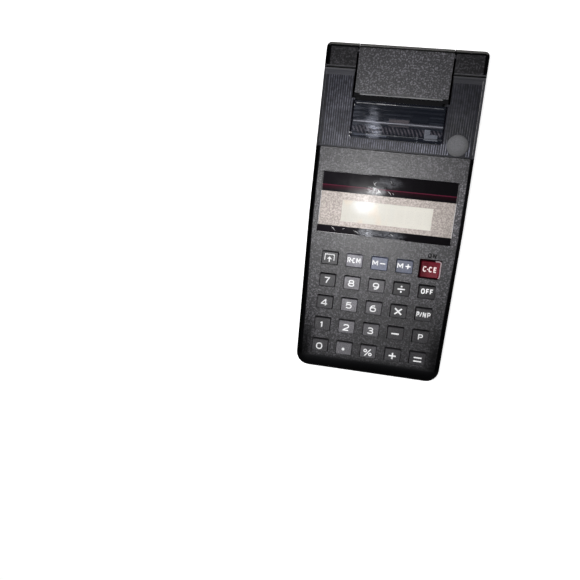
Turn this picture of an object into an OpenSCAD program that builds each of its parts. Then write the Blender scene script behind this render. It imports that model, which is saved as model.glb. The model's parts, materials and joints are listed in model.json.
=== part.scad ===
// Hand-held printing calculator: hinged smoked printer cover, hinged paper cover,
// sliding battery door, 25 sprung keys and a small serial printer inside.
// Frame: origin on the table under the middle of the case, +X right, +Y to the
// printer end, +Z up. Millimetres.

/* [Case] */
// Width of the case at the printer end
body_w = 84.8; // [84.8:0.1:85.2]
// How much each side closes in towards the keyboard end
front_taper = 1.9; // [1.5:0.1:2.0]
// Length of the case
body_l = 178; // [178:0.1:178.6]
// Height of the top face above the table
top_z = 33; // [33:0.1:33.4]
// Wall of the upper shell
wall = 2.2; // [2.0:0.05:2.3]
// Wall of the lower shell
low_wall = 2.0; // [1.8:0.05:2.1]

/* [Keys] */
// Column pitch
pitch_x = 13.6; // [13.3:0.05:13.7]
// Row pitch
pitch_y = 12.45; // [12.3:0.05:12.45]
// Row centre of the middle key row
row_mid = -49.7; // [-49.75:0.05:-49.5]
// Key cap width
key_w = 9.0; // [8.4:0.1:9.2]
// Key cap depth
key_d = 7.3; // [6.8:0.1:7.5]
// Gap between cap and opening
key_gap = 0.4; // [0.35:0.05:0.5]
// Height of a cap above the top face
key_rise = 1.7; // [1.2:0.1:2.2]

/* [Display] */
// Lens width
lens_w = 72.6; // [71:0.2:73]
// Lens front edge
lens_y0 = -11; // [-11.2:0.1:-10.8]
// Lens rear edge
lens_y1 = 22.3; // [22:0.1:22.5]
// Thickness of the lens
lens_t = 1.3; // [1.1:0.1:1.3]

/* [Covers] */
// Front edge of the smoked printer cover
cover_y0 = 35.15; // [35.1:0.05:35.3]
// Thickness of the printer cover
cover_t = 1.6; // [1.4:0.05:1.6]
// Half width of the paper cover
paper_hw = 24.3; // [24:0.1:24.4]
// Front edge of the paper cover
paper_y0 = 63.9; // [63.8:0.1:64.2]

/* [Printer] */
// Lead of the drive screw, three starts
screw_lead = 8.1; // [8.1:0.1:8.1]
// Gear module
gear_m = 0.4; // [0.4:0.1:0.4]
// Middle of the carriage at rest
carriage_x = 0.7; // [0:0.1:1]
// Radius of the paper roll
roll_r = 11; // [8:0.5:11]

/* [Hidden] */
$fn = 48;
hw = body_w / 2;
hl = body_l / 2;
split_z = 14;
floor_z = 0.8;
hinge_y = 72.6;      // printer cover axis
hinge_z = 29;
flap_y = 85.8;       // paper cover axis
flap_z = 29.8;
shaft_y = 50.6; shaft_z = 25.8;
screw_y = 46.8; screw_z = 24.6;
motor_y = 44.6; motor_z = 11.2;
t_screw = 18; t_idler = 30; t_motor = 10;
r_screw = gear_m * t_screw / 2;
r_idler = gear_m * t_idler / 2;
r_motor = gear_m * t_motor / 2;
// idler axis: on the +Y side of the line from screw to motor
sm_d = sqrt(pow(screw_y - motor_y, 2) + pow(screw_z - motor_z, 2));
si_d = r_screw + r_idler;
mi_d = r_motor + r_idler;
i_a = (sm_d * sm_d + mi_d * mi_d - si_d * si_d) / (2 * sm_d);
i_h = sqrt(mi_d * mi_d - i_a * i_a);
sm_u = [(screw_y - motor_y) / sm_d, (screw_z - motor_z) / sm_d];
idler_y = motor_y + sm_u[0] * i_a + sm_u[1] * i_h;
idler_z = motor_z + sm_u[1] * i_a - sm_u[0] * i_h;
dir_is = atan2(screw_z - idler_z, screw_y - idler_y);
dir_im = atan2(motor_z - idler_z, motor_y - idler_y);
bosses = [[33.2, -80.2], [-33.2, -80.2], [33.5, -14], [-33.5, -14], [33.5, 81], [-33.5, 81]];
feet = [[32.75, -68], [-32.75, -68], [33.4, 68], [-33.4, 68]];
cells = [-21.9, -7.3, 7.3, 21.9];
bay_y0 = -84.6; bay_y1 = -29.4;
roll_y = 75.3; roll_z = 15.5;
ink_y = 44.5; ink_z = 18.5;
wheel_y = 51.8; wheel_z = 20;
feed_y = 56; feed_z = 10.5;

case_black = [0.07, 0.07, 0.075];
case_grey = [0.33, 0.33, 0.34];
smoke = [0.16, 0.17, 0.2, 0.75];
steel = [0.72, 0.73, 0.75];

// ---------- shared shapes ----------
module box(x0, y0, z0, x1, y1, z1) translate([x0, y0, z0]) cube([x1 - x0, y1 - y0, z1 - z0]);
module xcyl(x0, x1, y, z, r) translate([x0, y, z]) rotate([0, 90, 0]) cylinder(r = r, h = x1 - x0);
module xprism(x0, x1) translate([x0, 0, 0]) rotate([90, 0, 90]) linear_extrude(x1 - x0) children();
module both() { children(); mirror([1, 0, 0]) children(); }
module rect(x0, y0, x1, y1) translate([x0, y0]) square([x1 - x0, y1 - y0]);
module rrect(x0, y0, x1, y1, r) {
  rect(x0 + r, y0, x1 - r, y1);
  rect(x0, y0 + r, x1, y1 - r);
  for (x = [x0 + r, x1 - r], y = [y0 + r, y1 - r]) translate([x, y]) circle(r = r);
}

function arc(cx, cy, r, a0) = [for (k = [0:6]) [cx + r * cos(a0 + 15 * k), cy + r * sin(a0 + 15 * k)]];
// rounded rectangle, with points between the corners along each side where the sides curve
function ring(w, f, b, rf, rb, side_y) = concat(arc(w - rf, f + rf, rf, -90), [for (y = side_y) [w, y]],
  arc(w - rb, b - rb, rb, 0), arc(rb - w, b - rb, rb, 90),
  [for (k = [len(side_y) - 1:-1:0]) [-w, side_y[k]]], arc(rf - w, f + rf, rf, 180));
// the sides run straight along the printer and curve in along the keyboard
function taper(y) = y >= 16 ? 0 : front_taper * pow((16 - y) / 105, 1.7);
function outline(w, f, b, rf, rb) = [for (p = ring(w, f, b, rf, rb, [-66, -50, -34, -18, -2, 16]))
  [p[0] - sign(p[0]) * taper(p[1]), p[1]]];

// a shell form through a stack of rounded outlines: [z, half width, front, rear, front radius, rear radius]
module skin(levels, body = true) {
  m = len(levels);
  rings = [for (l = levels) body ? outline(l[1], l[2], l[3], l[4], l[5]) : ring(l[1], l[2], l[3], l[4], l[5], [])];
  n = len(rings[0]);
  pts = [for (j = [0:m - 1]) for (p = rings[j]) [p[0], p[1], levels[j][0]]];
  sides = [for (j = [0:m - 2]) for (k = [0:n - 1]) for (t = [0, 1])
    let (a = j * n + k, b = j * n + (k + 1) % n, c = b + n, d = a + n) t == 0 ? [a, d, c] : [a, c, b]];
  polyhedron(points = pts, faces = concat([[for (k = [0:n - 1]) k]],
    [[for (k = [0:n - 1]) m * n - 1 - k]], sides), convexity = 6);
}
// upper form at an inset, open at the bottom when inset
function upper(i) = [for (l = [[14, 0.3, 0.2, 0.1, 7, 2.3], [25.5, 0, 0, 0, 7, 2.3], [28, 0.1, 0.5, 0, 6.9, 2.3],
  [30, 0.4, 1.7, 0.05, 6.7, 2.2], [31, 0.68, 2.65, 0.12, 6.5, 2.1], [31.8, 1.05, 3.8, 0.22, 6.3, 1.9],
  [32.5, 1.55, 5.3, 0.4, 6, 1.7], [32.85, 1.98, 6.6, 0.58, 5.7, 1.5], [33, 2.4, 7.8, 0.8, 5.5, 1.4]])
  [l[0] == 14 ? (i > 0 ? 12.5 : 14) : 14 + (l[0] - 14) * (top_z - i - 14) / 19,
   hw - l[1] - i, -hl + l[2] + i, hl - l[3] - i, max(l[4] - i, 0.8), max(l[5] - i, 0.5)]];
// lower form at an inset, open at the top when inset
function lower(i) = [for (l = [[0.8, 4.8, 4.8, 4, 4.5, 2], [1.05, 3.8, 3.8, 3, 5, 2.1], [1.7, 2.75, 2.75, 2, 5.6, 2.2],
  [3, 1.75, 1.75, 1.1, 6.2, 2.3], [6, 0.85, 0.8, 0.4, 6.7, 2.3], [13.8, 0.3, 0.2, 0.1, 7, 2.3]])
  [l[0] == 13.8 ? (i > 0 ? 15 : 13.8) : l[0] + i * (13.8 - l[0]) / 13, hw - l[1] - i, -hl + l[2] + i, hl - l[3] - i,
   max(l[4] - i, 0.8), max(l[5] - i, 0.5)]];

// involute gear outline, a tooth on the +X side
function inv(a) = tan(a) * 180 / PI - a;
function gear_pts(n, m, play) = let (r = n * m / 2, rb = r * cos(20), ro = r + 0.9 * m, rr = r - 1.15 * m,
    half = 90 / n - play / r * 90 / PI + inv(20),
    steps = [for (k = [0:4]) max(rb, rr) + (ro - max(rb, rr)) * k / 4],
    flank = concat(rb > rr ? [[rr, half]] : [], [for (q = steps) [q, half - inv(acos(rb / q))]]))
  [for (t = [0:n - 1]) for (p = concat([for (f = flank) [f[0], t * 360 / n - f[1]]],
    [for (k = [len(flank) - 1:-1:0]) [flank[k][0], t * 360 / n + flank[k][1]]])) [p[0] * cos(p[1]), p[0] * sin(p[1])]];
module gear(x0, x1, y, z, n, turn) translate([x0, y, z]) rotate([90, 0, 90]) rotate([0, 0, turn])
  linear_extrude(x1 - x0) polygon(gear_pts(n, gear_m, 0.09));

// three-start screw thread along X; phase is fixed to x = 0 so that screw and nut agree
module thread(x0, x1, grow, step) translate([x0, screw_y, screw_z]) rotate([90, 0, 90])
  rotate([0, 0, 360 * x0 / screw_lead])
    linear_extrude(height = x1 - x0, twist = -360 * (x1 - x0) / screw_lead,
      slices = ceil(360 * (x1 - x0) / screw_lead / step), segments = 18)
      polygon([for (k = [0:17]) let (q = 1.86 + 0.36 * cos(60 * k) + grow) [q * cos(20 * k), q * sin(20 * k)]]);

// ---------- case ----------
module cover_recess_2d(e) {
  rect(34.85 - e, 23.7 - e, hinge_y, 36);
  intersection() { translate([hinge_y, hinge_z]) circle(r = 4.35 + e); rect(hinge_y - 0.3, 10, 90, 36); }
  rect(hinge_y - 0.3, hinge_z, 76.95 + e, 36);
}
// room that the rear of the printer cover turns in
module knuckle_room_2d(r) {
  intersection() { translate([hinge_y, hinge_z]) circle(r = r); rect(hinge_y - 0.3, 10, 90, 36); }
  rect(hinge_y - 0.3, hinge_z, 76.95, 36);
}
module knuckle_sweep_2d() difference() {
  knuckle_room_2d(4.35);
  translate([hinge_y, hinge_z]) circle(r = 1.9);
}
module key_opening(c, r) {
  big = (c == 2 && r == 2);
  w = (big ? 11.6 : key_w) / 2 + key_gap;
  d = (big ? 10.2 : key_d) / 2 + key_gap;
  translate([c * pitch_x, row_mid + r * pitch_y, 28]) linear_extrude(8) rrect(-w, -d, w, d, 0.8);
}
module top_case() color(case_grey) difference() {
  union() {
    difference() {
      skin(upper(0));
      skin(upper(wall));
      xprism(-50, 50) cover_recess_2d(0);
    }
    // deck and side walls under the smoked cover
    difference() {
      intersection() {
        skin(upper(1.9));
        xprism(-50, 50) cover_recess_2d(1.8);
      }
      skin(upper(3.9));
    }
    // hinge troughs, cheeks of the paper bay, display frame, screw bosses, joint lip
    both() {
      xprism(25.4, 38.6) intersection() {
        translate([hinge_y, hinge_z]) circle(r = 5.6);
        rect(hinge_y - 1.6, 10, 77.6, 30.6);
      }
      box(25.4, 63, 18, 27, 87, 30.9);
      box(25.4, 77, 30, 27, 87, 32.2);
    }
    difference() {
      box(-28.5, -9.5, 28, 28.5, 13, 31.4);
      box(-27, -8, 27, 27, 11.5, 32);
    }
    for (b = bosses) translate([b[0], b[1], 15]) cylinder(r = 2.8, h = 16.4);
  }
  // moving parts of the cover hinge
  both() {
    xprism(25.3, 38.5) knuckle_sweep_2d();
    xprism(38.4, 50) knuckle_room_2d(4.4);
    xcyl(39.6, 50, hinge_y, hinge_z, 4.45);
    xcyl(36.2, 42, hinge_y, hinge_z, 1.06);
    xcyl(25, 27.2, flap_y, flap_z, 1.06);
    box(25.4, 76.9, 32.2, 40, 87.5, 34);
    box(25.4, 86.7, 31.6, 40, 87.5, 34);
  }
  // printer and paper bay
  box(-25.4, 39.8, 27, 25.4, 87.4, 36);
  box(-24.9, 84, 26.25, 24.9, 92, 36);
  xcyl(-24.9, 24.9, flap_y, flap_z, 4.8);
  // display
  translate([0, 0, top_z - lens_t - 0.2]) linear_extrude(3) rrect(-lens_w / 2 - 0.1, lens_y0 - 0.1, lens_w / 2 + 0.1, lens_y1 + 0.1, 0.9);
  box(-27, -8, 27, 27, 11.5, 34);
  // keys
  for (c = [-2:2], r = [-2:2]) key_opening(c, r);
  // room for the corner flanges of the front keys beside the front bosses
  both() box(30, -79.45, 27.7, 32.85, -76.5, 30.8);
  for (b = bosses) translate([b[0], b[1], 14.5]) cylinder(r = 1.25, h = 10);
}

module bottom_case() color(case_black) difference() {
  union() {
    difference() { skin(lower(0)); skin(lower(low_wall)); }
    // lip inside the upper shell
    difference() {
      union() {
        translate([0, 0, 10]) linear_extrude(3.7) polygon(outline(hw - 1.5, -hl + 1.4, hl - 1.4, 5.5, 1.5));
        translate([0, 0, 12]) linear_extrude(3.6) polygon(outline(hw - 2.75, -hl + 2.65, hl - 2.6, 4.4, 1));
      }
      translate([0, 0, 9]) linear_extrude(8) polygon(outline(hw - 3.9, -hl + 3.8, hl - 3.7, 3.4, 0.8));
      // room for the paper roll
      box(-24, 84, 9, 24, 86.95, 17);
    }
    // battery bay
    difference() {
      box(-30.8, -86.5, 2, 30.8, -28.2, 18.6);
      box(-29.6, bay_y0, 0, 29.6, bay_y1, 17.4);
    }
    for (b = bosses) translate([b[0], b[1], 1.8]) cylinder(r = 3.4, h = 13);
    for (x = [-26, 26]) {
      translate([x, -79, 18]) cylinder(r = 1.6, h = 2.2);
      translate([x, -33, 18]) cylinder(r = 1.6, h = 2.2);
      translate([x, 30, 2]) cylinder(r = 1.8, h = 18.2);
    }
    // printer seats and paper roll cradle
    for (x = [-24, 24], y = [41.5, 60]) translate([x, y, 2]) cylinder(r = 2.4, h = 2.2);
    both() difference() {
      box(20.2, 66, 2, 21.8, 85.2, 20);
      box(20, roll_y - 2.25, roll_z, 22, roll_y + 2.25, 21);
      xcyl(20, 22, roll_y, roll_z, 2.25);
    }
  }
  // door opening, front notch and slide grooves
  box(-29.6, -92, -1, 29.6, bay_y1, 2.85);
  box(-29.6, -92, -1, 29.6, -81.5, 5.2);
  both() box(29, -84.6, 2.8, 30.4, -33, 4.15);
  for (b = bosses) translate([b[0], b[1], 0]) { cylinder(r = 2.5, h = 4.2); cylinder(r = 1.6, h = 16); }
  for (f = feet) translate([f[0], f[1], 0]) cylinder(r = 3.1, h = 1.4);
  xcyl(-44, -36, 22, 8.2, 3.9);
}

module battery_door() color(case_black) difference() {
  union() {
    intersection() {
      difference() { skin(lower(0)); skin(lower(1.8)); }
      box(-29.3, -92, 0, 29.3, bay_y1 - 0.3, 4.9);
    }
    both() box(27.4, -76, 2.4, 29.3, -41, 3.8);
    both() box(29.2, -76, 3.1, 30.1, -41, 3.8);
  }
  // finger grip
  for (k = [0:5]) box(-9, -76 + 2 * k, 0, 9, -75 + 2 * k, 1.3);
}

module paper_cover() color(case_grey) difference() {
  union() {
    difference() {
      intersection() {
        skin(upper(0));
        box(-paper_hw, paper_y0, 26.6, paper_hw, 92, 36);
      }
      box(-30, 60, 20, 30, 87.2, 31.2);
    }
    both() {
      xcyl(22.7, paper_hw, flap_y, flap_z, 2.2);
      box(22.7, 83.6, 29.8, paper_hw, 87.4, 31.4);
      xcyl(24, 26.8, flap_y, flap_z, 1);
      box(22.9, 66, 29.4, 23.9, 84, 31.4);
    }
  }
  box(-30, 86.7, 32.4, 30, 87.5, 36);
}

module tear_bar() color(steel) translate([0, 0, 30.75]) linear_extrude(0.45)
  polygon(concat([[22.2, 69], [-22.2, 69]], [for (k = [0:36]) [-21.6 + 1.2 * k, k % 2 == 0 ? 63.4 : 62.8]]));

module printer_cover() color(smoke) difference() {
  union() {
    difference() {
      intersection() {
        skin(upper(0));
        // the skirts end in a round about the hinge axis
        xprism(-50, 50) union() {
          rect(cover_y0, 24, hinge_y, 36);
          intersection() { translate([hinge_y, hinge_z]) circle(r = 3.95); rect(hinge_y - 0.1, 20, 90, 36); }
        }
      }
      intersection() {
        skin(upper(cover_t));
        xprism(-50, 50) union() {
          rect(cover_y0 - 1, 20, hinge_y, 36);
          rect(hinge_y - 1, 20, 90, hinge_z);
          translate([hinge_y, hinge_z]) circle(r = 2.4);
        }
      }
    }
    both() xcyl(36.5, 41, hinge_y, hinge_z, 1);
  }
  box(-23.7, 41, 20, 23.7, 61.4, 36);
  box(-25.5, 61.3, 20, 25.5, 90, 36);
}

module printer_window() color([0.2, 0.22, 0.27, 0.5]) xprism(-23.7, 23.7) difference() {
  union() {
    rect(41, 31.5, 58.6, 32.75);
    intersection() { translate([58.6, 30.95]) circle(r = 1.8); rect(58.6, 30.95, 61, 33); }
    rect(59.2, 28.6, 60.4, 30.95);
  }
  intersection() { translate([58.6, 30.95]) circle(r = 0.6); rect(58.6, 30.95, 61, 33); }
}

// ---------- display ----------
module display_lens() color([0.8, 0.82, 0.85, 0.3]) translate([0, 0, top_z - lens_t + 0.05])
  linear_extrude(lens_t) rrect(-lens_w / 2, lens_y0, lens_w / 2, lens_y1, 0.8);
module display_mask() color([0.7, 0.67, 0.65]) translate([0, 0, top_z - lens_t - 0.18])
  linear_extrude(0.2) difference() {
    rrect(-lens_w / 2, lens_y0, lens_w / 2, lens_y1, 0.8);
    rect(-24, -4.2, 24.8, 7.6);
  }
module lcd_panel() color([0.85, 0.86, 0.78]) {
  box(-26.5, -7.5, 28.6, 26.5, 11, 29.9);
  box(-26.5, -5.5, 30, 26.5, 9, 31.2);
  box(-26.5, -5.5, 29.9, 26.5, 9, 30);
}
module lcd_connectors() color([0.85, 0.45, 0.6]) for (y = [-7, 8.6])
  box(-25, y, 21.8, 25, y + 2, 28.6);
module main_board() color([0.1, 0.35, 0.2]) difference() {
  box(-30, -80, 20.2, 30, 33.5, 21.8);
  for (x = [-26, 26], y = [-79, -33, 30]) translate([x, y, 19]) cylinder(r = 0.8, h = 4);
}
module board_components() color([0.12, 0.12, 0.13]) {
  box(-17, -6, 17.8, -1, 10, 20.2);
  box(8, 4, 18.4, 20, 10, 20.2);
  box(4, 16, 18.2, 14, 20, 20.2);
  box(-16, 16, 19.2, -6, 19, 20.2);
  translate([16, -12, 11.2]) cylinder(r = 3.2, h = 9);
  translate([24, -12, 11.2]) cylinder(r = 3.2, h = 9);
  translate([-22, -14, 14.2]) cylinder(r = 2.2, h = 6);
  box(-24, 21, 15.2, -18, 27, 20.2);
  for (k = [0:4]) box(-2 + 3 * k, -20, 19, -0.6 + 3 * k, -14, 20.2);
}
module key_mat() color([0.55, 0.56, 0.56]) {
  box(-30, -79.2, 21.8, 30, -19.8, 22.6);
  for (c = [-2:2], r = [-2:2]) translate([c * pitch_x, row_mid + r * pitch_y, 22.5]) cylinder(r1 = 2.6, r2 = 1.7, h = 1.1);
}

// ---------- power ----------
module batteries() color([0.75, 0.6, 0.3]) for (k = [0:3])
  translate([cells[k], k % 2 == 0 ? bay_y0 + 4.3 : bay_y1 - 4.3, 10.1]) rotate([k % 2 == 0 ? -90 : 90, 0, 0]) {
    cylinder(r = 7.1, h = 49.3);
    translate([0, 0, 49]) cylinder(r = 2.7, h = 1.5);
  }
module coil(r0, r1, len, turns, wire) {
  n = turns * 14;
  pts = [for (k = [0:n]) let (a = k * 360 / 14, r = r0 + (r1 - r0) * k / n, h = wire + (len - 2 * wire) * k / n)
    for (s = [0:5]) [(r + wire * cos(60 * s)) * cos(a), (r + wire * cos(60 * s)) * sin(a), h + wire * sin(60 * s)]];
  polyhedron(points = pts, faces = concat([[5, 4, 3, 2, 1, 0]], [[for (s = [0:5]) n * 6 + s]],
    [for (k = [0:n - 1]) for (s = [0:5]) for (t = [0, 1]) let (a = k * 6 + s, b = k * 6 + (s + 1) % 6)
      t == 0 ? [a, b, b + 6] : [a, b + 6, a + 6]]), convexity = 8);
}
module battery_springs() color(steel) for (k = [0:3])
  translate([cells[k], k % 2 == 0 ? bay_y0 + 0.45 : bay_y1 - 0.45, 10.1]) rotate([k % 2 == 0 ? -90 : 90, 0, 0])
    coil(4.4, 2.4, 3.8, 3, 0.35);
module battery_plates() color(steel) {
  for (s = [[bay_y0, 1], [bay_y1 - 0.4, 0]]) {
    if (s[1] == 1) { box(-28.6, s[0], 4.5, -0.4, s[0] + 0.4, 15.5); box(0.4, s[0], 4.5, 28.6, s[0] + 0.4, 15.5); }
    if (s[1] == 0) { box(-28.6, s[0], 4.5, -15, s[0] + 0.4, 15.5); box(-14.2, s[0], 4.5, 14.2, s[0] + 0.4, 15.5); box(15, s[0], 4.5, 28.6, s[0] + 0.4, 15.5); }
  }
}
module adaptor_jack() color(case_black) difference() {
  union() {
    box(-37.6, 17.5, 4.3, -27, 26.5, 13.4);
    xcyl(-40.6, -37, 22, 8.2, 3.6);
  }
  xcyl(-42, -28.6, 22, 8.2, 1.8);
}
module rubber_feet() color([0.1, 0.1, 0.1]) for (f = feet) translate([f[0], f[1], 0]) {
  cylinder(r1 = 2.7, r2 = 3, h = 0.4);
  translate([0, 0, 0.4]) cylinder(r = 3, h = 1);
}
module case_screws() color(steel) for (b = bosses) translate([b[0], b[1], 0]) difference() {
  union() {
    translate([0, 0, 2.7]) cylinder(r = 2.2, h = 1.5);
    translate([0, 0, 4.1]) cylinder(r = 1.22, h = 17);
  }
  box(-1.6, -0.3, 2, 1.6, 0.3, 3.5);
  box(-0.3, -1.6, 2, 0.3, 1.6, 3.5);
}

// ---------- printer ----------
module printer_frame() color([0.16, 0.16, 0.17]) difference() {
  union() {
    box(-27.8, 39, 4.2, 27.8, 62.5, 5.4);
    both() xprism(26.4, 27.8) difference() {
      rrect(39, 4.2, 62.5, 28.6, 1.2);
      rect(58, 26, 70, 40);
    }
    box(-27, 61.3, 5, 27, 62.5, 15);
    xcyl(-31.8, -27, idler_y, idler_z, 1);
    xcyl(-28.4, -27, idler_y, idler_z, 2);
  }
  xcyl(-29, 29, shaft_y, shaft_z, 1.02);
  xcyl(-29, 29, screw_y, screw_z, 1.06);
  xcyl(-29, 29, feed_y, feed_z, 1.06);
  xcyl(-29, -26, motor_y, motor_z, 1.4);
}
module printer_motor() color([0.6, 0.6, 0.62]) difference() {
  union() {
    xcyl(-26.4, -5, motor_y, motor_z, 5.2);
    xcyl(-5, -3.6, motor_y, motor_z, 2.2);
  }
  xcyl(-27, -20, motor_y, motor_z, 0.86);
}
module motor_pinion() color([0.8, 0.68, 0.35]) {
  gear(-31.4, -29, motor_y, motor_z, t_motor, dir_im + 180 - t_idler / t_motor * (dir_is - dir_im) - 180 / t_motor);
  xcyl(-30, -21, motor_y, motor_z, 0.8);
}
module idler_gear() color([0.85, 0.84, 0.8]) difference() {
  gear(-31.4, -29, idler_y, idler_z, t_idler, dir_is);
  xcyl(-33, -28, idler_y, idler_z, 1.06);
  for (k = [0:4]) translate([-33, idler_y, idler_z]) rotate([90, 0, 90]) rotate([0, 0, 72 * k]) translate([3.4, 0, 0]) cylinder(r = 1, h = 5);
}
module drive_screw() color([0.78, 0.78, 0.74]) {
  thread(-22, 22, 0, 18);
  for (s = [[-25.6, -21.4], [21.4, 25.6]]) xcyl(s[0], s[1], screw_y, screw_z, 1.3);
  xcyl(-31.8, -25.3, screw_y, screw_z, 1);
  xcyl(25.3, 27.6, screw_y, screw_z, 1);
}
module screw_gear() color([0.85, 0.84, 0.8]) difference() {
  union() {
    gear(-31.4, -29, screw_y, screw_z, t_screw, dir_is + 180 + 180 / t_screw);
    xcyl(-29, -28.2, screw_y, screw_z, 1.9);
  }
  xcyl(-33, -28, screw_y, screw_z, 1);
}
module guide_shaft() color(steel) xcyl(-27.8, 27.8, shaft_y, shaft_z, 1);
module print_carriage() color([0.45, 0.36, 0.31]) translate([carriage_x - 0.7, 0, 0]) {
  difference() {
    union() {
      box(-4.7, 48.9, 23.4, 6.1, 52.9, 27.2);
      box(-4.7, 50.75, 27.1, 6.1, 52.9, 28.3);
      box(-4.7, 45.4, 21.7, 6.1, 51, 23.6);
      intersection() {
        xcyl(-4.7, 6.1, screw_y, screw_z, 2.95);
        box(-5, 40, 20, 7, 49, 24.3);
      }
      both_cheeks() xprism(0, 1.2) union() {
        rect(49.6, 20, 54, 24);
        translate([wheel_y, wheel_z]) circle(r = 2.2);
      }
    }
    box(-6, 48, 25.8, 8, 50.75, 29);
    xcyl(-6, 8, shaft_y, shaft_z, 1.06);
    thread(-6, 8, 0.32, 15);
    // slot for the type wheel
    xcyl(-0.9, 2.3, wheel_y, wheel_z, 4.6);
  }
  xcyl(-1.6, 3, wheel_y, wheel_z, 0.9);
}
module both_cheeks() { translate([-2.1, 0, 0]) children(); translate([2.3, 0, 0]) children(); }
module type_wheel() color([0.2, 0.2, 0.21]) translate([carriage_x - 0.7, 0, 0]) difference() {
  union() {
    xcyl(-0.5, 1.9, wheel_y, wheel_z, 3.85);
    for (k = [0:17]) translate([0.7, wheel_y, wheel_z]) rotate([20 * k, 0, 0]) box(-0.8, -0.35, 3.5, 0.8, 0.35, 4.17);
  }
  xcyl(-2, 4, wheel_y, wheel_z, 0.96);
}
module ink_roller_holder() color([0.62, 0.62, 0.6]) difference() {
  union() {
    box(11, 41.2, 5.4, 12, 46.2, 21.2);
    box(21, 41.2, 5.4, 22, 46.2, 21.2);
    box(21, 41.2, 21, 22, 43.4, 28.4);
    box(11, 41.2, 21, 12, 43.4, 24);
    box(11, 42.3, 21.8, 22, 43.4, 24);
    box(14.7, 42.3, 23, 22, 43.4, 29.2);
    box(14.7, 42.3, 28.2, 21.7, 46, 29.2);
    box(14.7, 45.9, 28.2, 17.7, 48.4, 29.2);
    box(11, 41.2, 5.4, 22, 42.4, 12);
  }
  xcyl(10, 23, ink_y, ink_z, 0.87);
}
module ink_roller() color([0.12, 0.08, 0.16]) {
  xcyl(12.4, 20.6, ink_y, ink_z, 2.55);
  xcyl(11.1, 21.9, ink_y, ink_z, 0.8);
}
module platen() color([0.13, 0.13, 0.13]) difference() {
  box(-26.4, 57.2, 16, 26.4, 60, 24.2);
  box(-24.5, 57.9, 17.5, 24.5, 59.3, 30);
}
module feed_roller() color([0.2, 0.2, 0.2]) {
  xcyl(-27.6, 31.2, feed_y, feed_z, 1);
  xcyl(-17, -8, feed_y, feed_z, 3.5);
  xcyl(8, 17, feed_y, feed_z, 3.5);
  gear(28.4, 30.8, feed_y, feed_z, 18, 0);
}
module paper_roll() color([0.95, 0.95, 0.92]) difference() {
  xcyl(-19, 19, roll_y, roll_z, roll_r);
  xcyl(-20, 20, roll_y, roll_z, 4.2);
}
module roll_spindle() color([0.2, 0.2, 0.21]) {
  xcyl(-19.6, 19.6, roll_y, roll_z, 4.12);
  xcyl(-21.7, 21.7, roll_y, roll_z, 2.2);
}

// ---------- keys ----------
module key_cap(c, r, tone) color(tone) translate([c * pitch_x, row_mid + r * pitch_y, 0]) {
  translate([0, 0, 30]) linear_extrude(top_z + key_rise - 30) rrect(-key_w / 2, -key_d / 2, key_w / 2, key_d / 2, 0.6);
  translate([0, 0, 29.2]) linear_extrude(1.2) rrect(-key_w / 2 - 0.7, -key_d / 2 - 0.7, key_w / 2 + 0.7, key_d / 2 + 0.7, 1);
  translate([0, 0, 25]) cylinder(r = 2, h = 4.5);
}
key_grey = [0.3, 0.3, 0.31];
key_violet = [0.45, 0.45, 0.52];
key_blue = [0.36, 0.39, 0.5];
module key_feed() key_cap(-2, 2, key_grey);
module key_recall() key_cap(-1, 2, key_violet);
module key_memory_minus() key_cap(0, 2, key_blue);
module key_memory_plus() key_cap(1, 2, key_blue);
module key_clear() color([0.5, 0.1, 0.14]) translate([2 * pitch_x, row_mid + 2 * pitch_y, 0]) {
  skin([[29.8, 5.8, -5.1, 5.1, 0.7, 0.7], [33.5, 5.8, -5.1, 5.1, 0.7, 0.7], [33.9, 5.65, -4.97, 4.97, 0.8, 0.8],
    [34.9, 4.7, -4.3, 4.3, 0.9, 0.9], [35.2, 4.3, -3.95, 3.95, 0.9, 0.9]], body = false);
  translate([0, 0, 29.2]) linear_extrude(1.2) rrect(-6.4, -5.6, 6.4, 5.6, 1);
  translate([0, 0, 25]) cylinder(r = 2, h = 4.5);
}
module key_7() key_cap(-2, 1, key_grey);
module key_8() key_cap(-1, 1, key_grey);
module key_9() key_cap(0, 1, key_grey);
module key_divide() key_cap(1, 1, key_grey);
module key_off() key_cap(2, 1, key_grey);
module key_4() key_cap(-2, 0, key_grey);
module key_5() key_cap(-1, 0, key_grey);
module key_6() key_cap(0, 0, key_grey);
module key_multiply() key_cap(1, 0, key_grey);
module key_print_mode() key_cap(2, 0, key_grey);
module key_1() key_cap(-2, -1, key_grey);
module key_2() key_cap(-1, -1, key_grey);
module key_3() key_cap(0, -1, key_grey);
module key_minus() key_cap(1, -1, key_grey);
module key_print() key_cap(2, -1, key_grey);
module key_0() key_cap(-2, -2, key_grey);
module key_point() key_cap(-1, -2, key_grey);
module key_percent() key_cap(0, -2, key_grey);
module key_plus() key_cap(1, -2, key_grey);
module key_equals() key_cap(2, -2, key_grey);

top_case();
bottom_case();
battery_door();
paper_cover();
tear_bar();
printer_cover();
printer_window();
display_lens();
display_mask();
lcd_panel();
lcd_connectors();
main_board();
board_components();
key_mat();
batteries();
battery_springs();
battery_plates();
adaptor_jack();
rubber_feet();
case_screws();
printer_frame();
printer_motor();
motor_pinion();
idler_gear();
drive_screw();
screw_gear();
guide_shaft();
print_carriage();
type_wheel();
ink_roller_holder();
ink_roller();
platen();
feed_roller();
paper_roll();
roll_spindle();
key_feed();
key_recall();
key_memory_minus();
key_memory_plus();
key_clear();
key_7();
key_8();
key_9();
key_divide();
key_off();
key_4();
key_5();
key_6();
key_multiply();
key_print_mode();
key_1();
key_2();
key_3();
key_minus();
key_print();
key_0();
key_point();
key_percent();
key_plus();
key_equals();
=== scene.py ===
import json
import math
import bpy
import bmesh
from mathutils import Matrix, Vector


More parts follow.
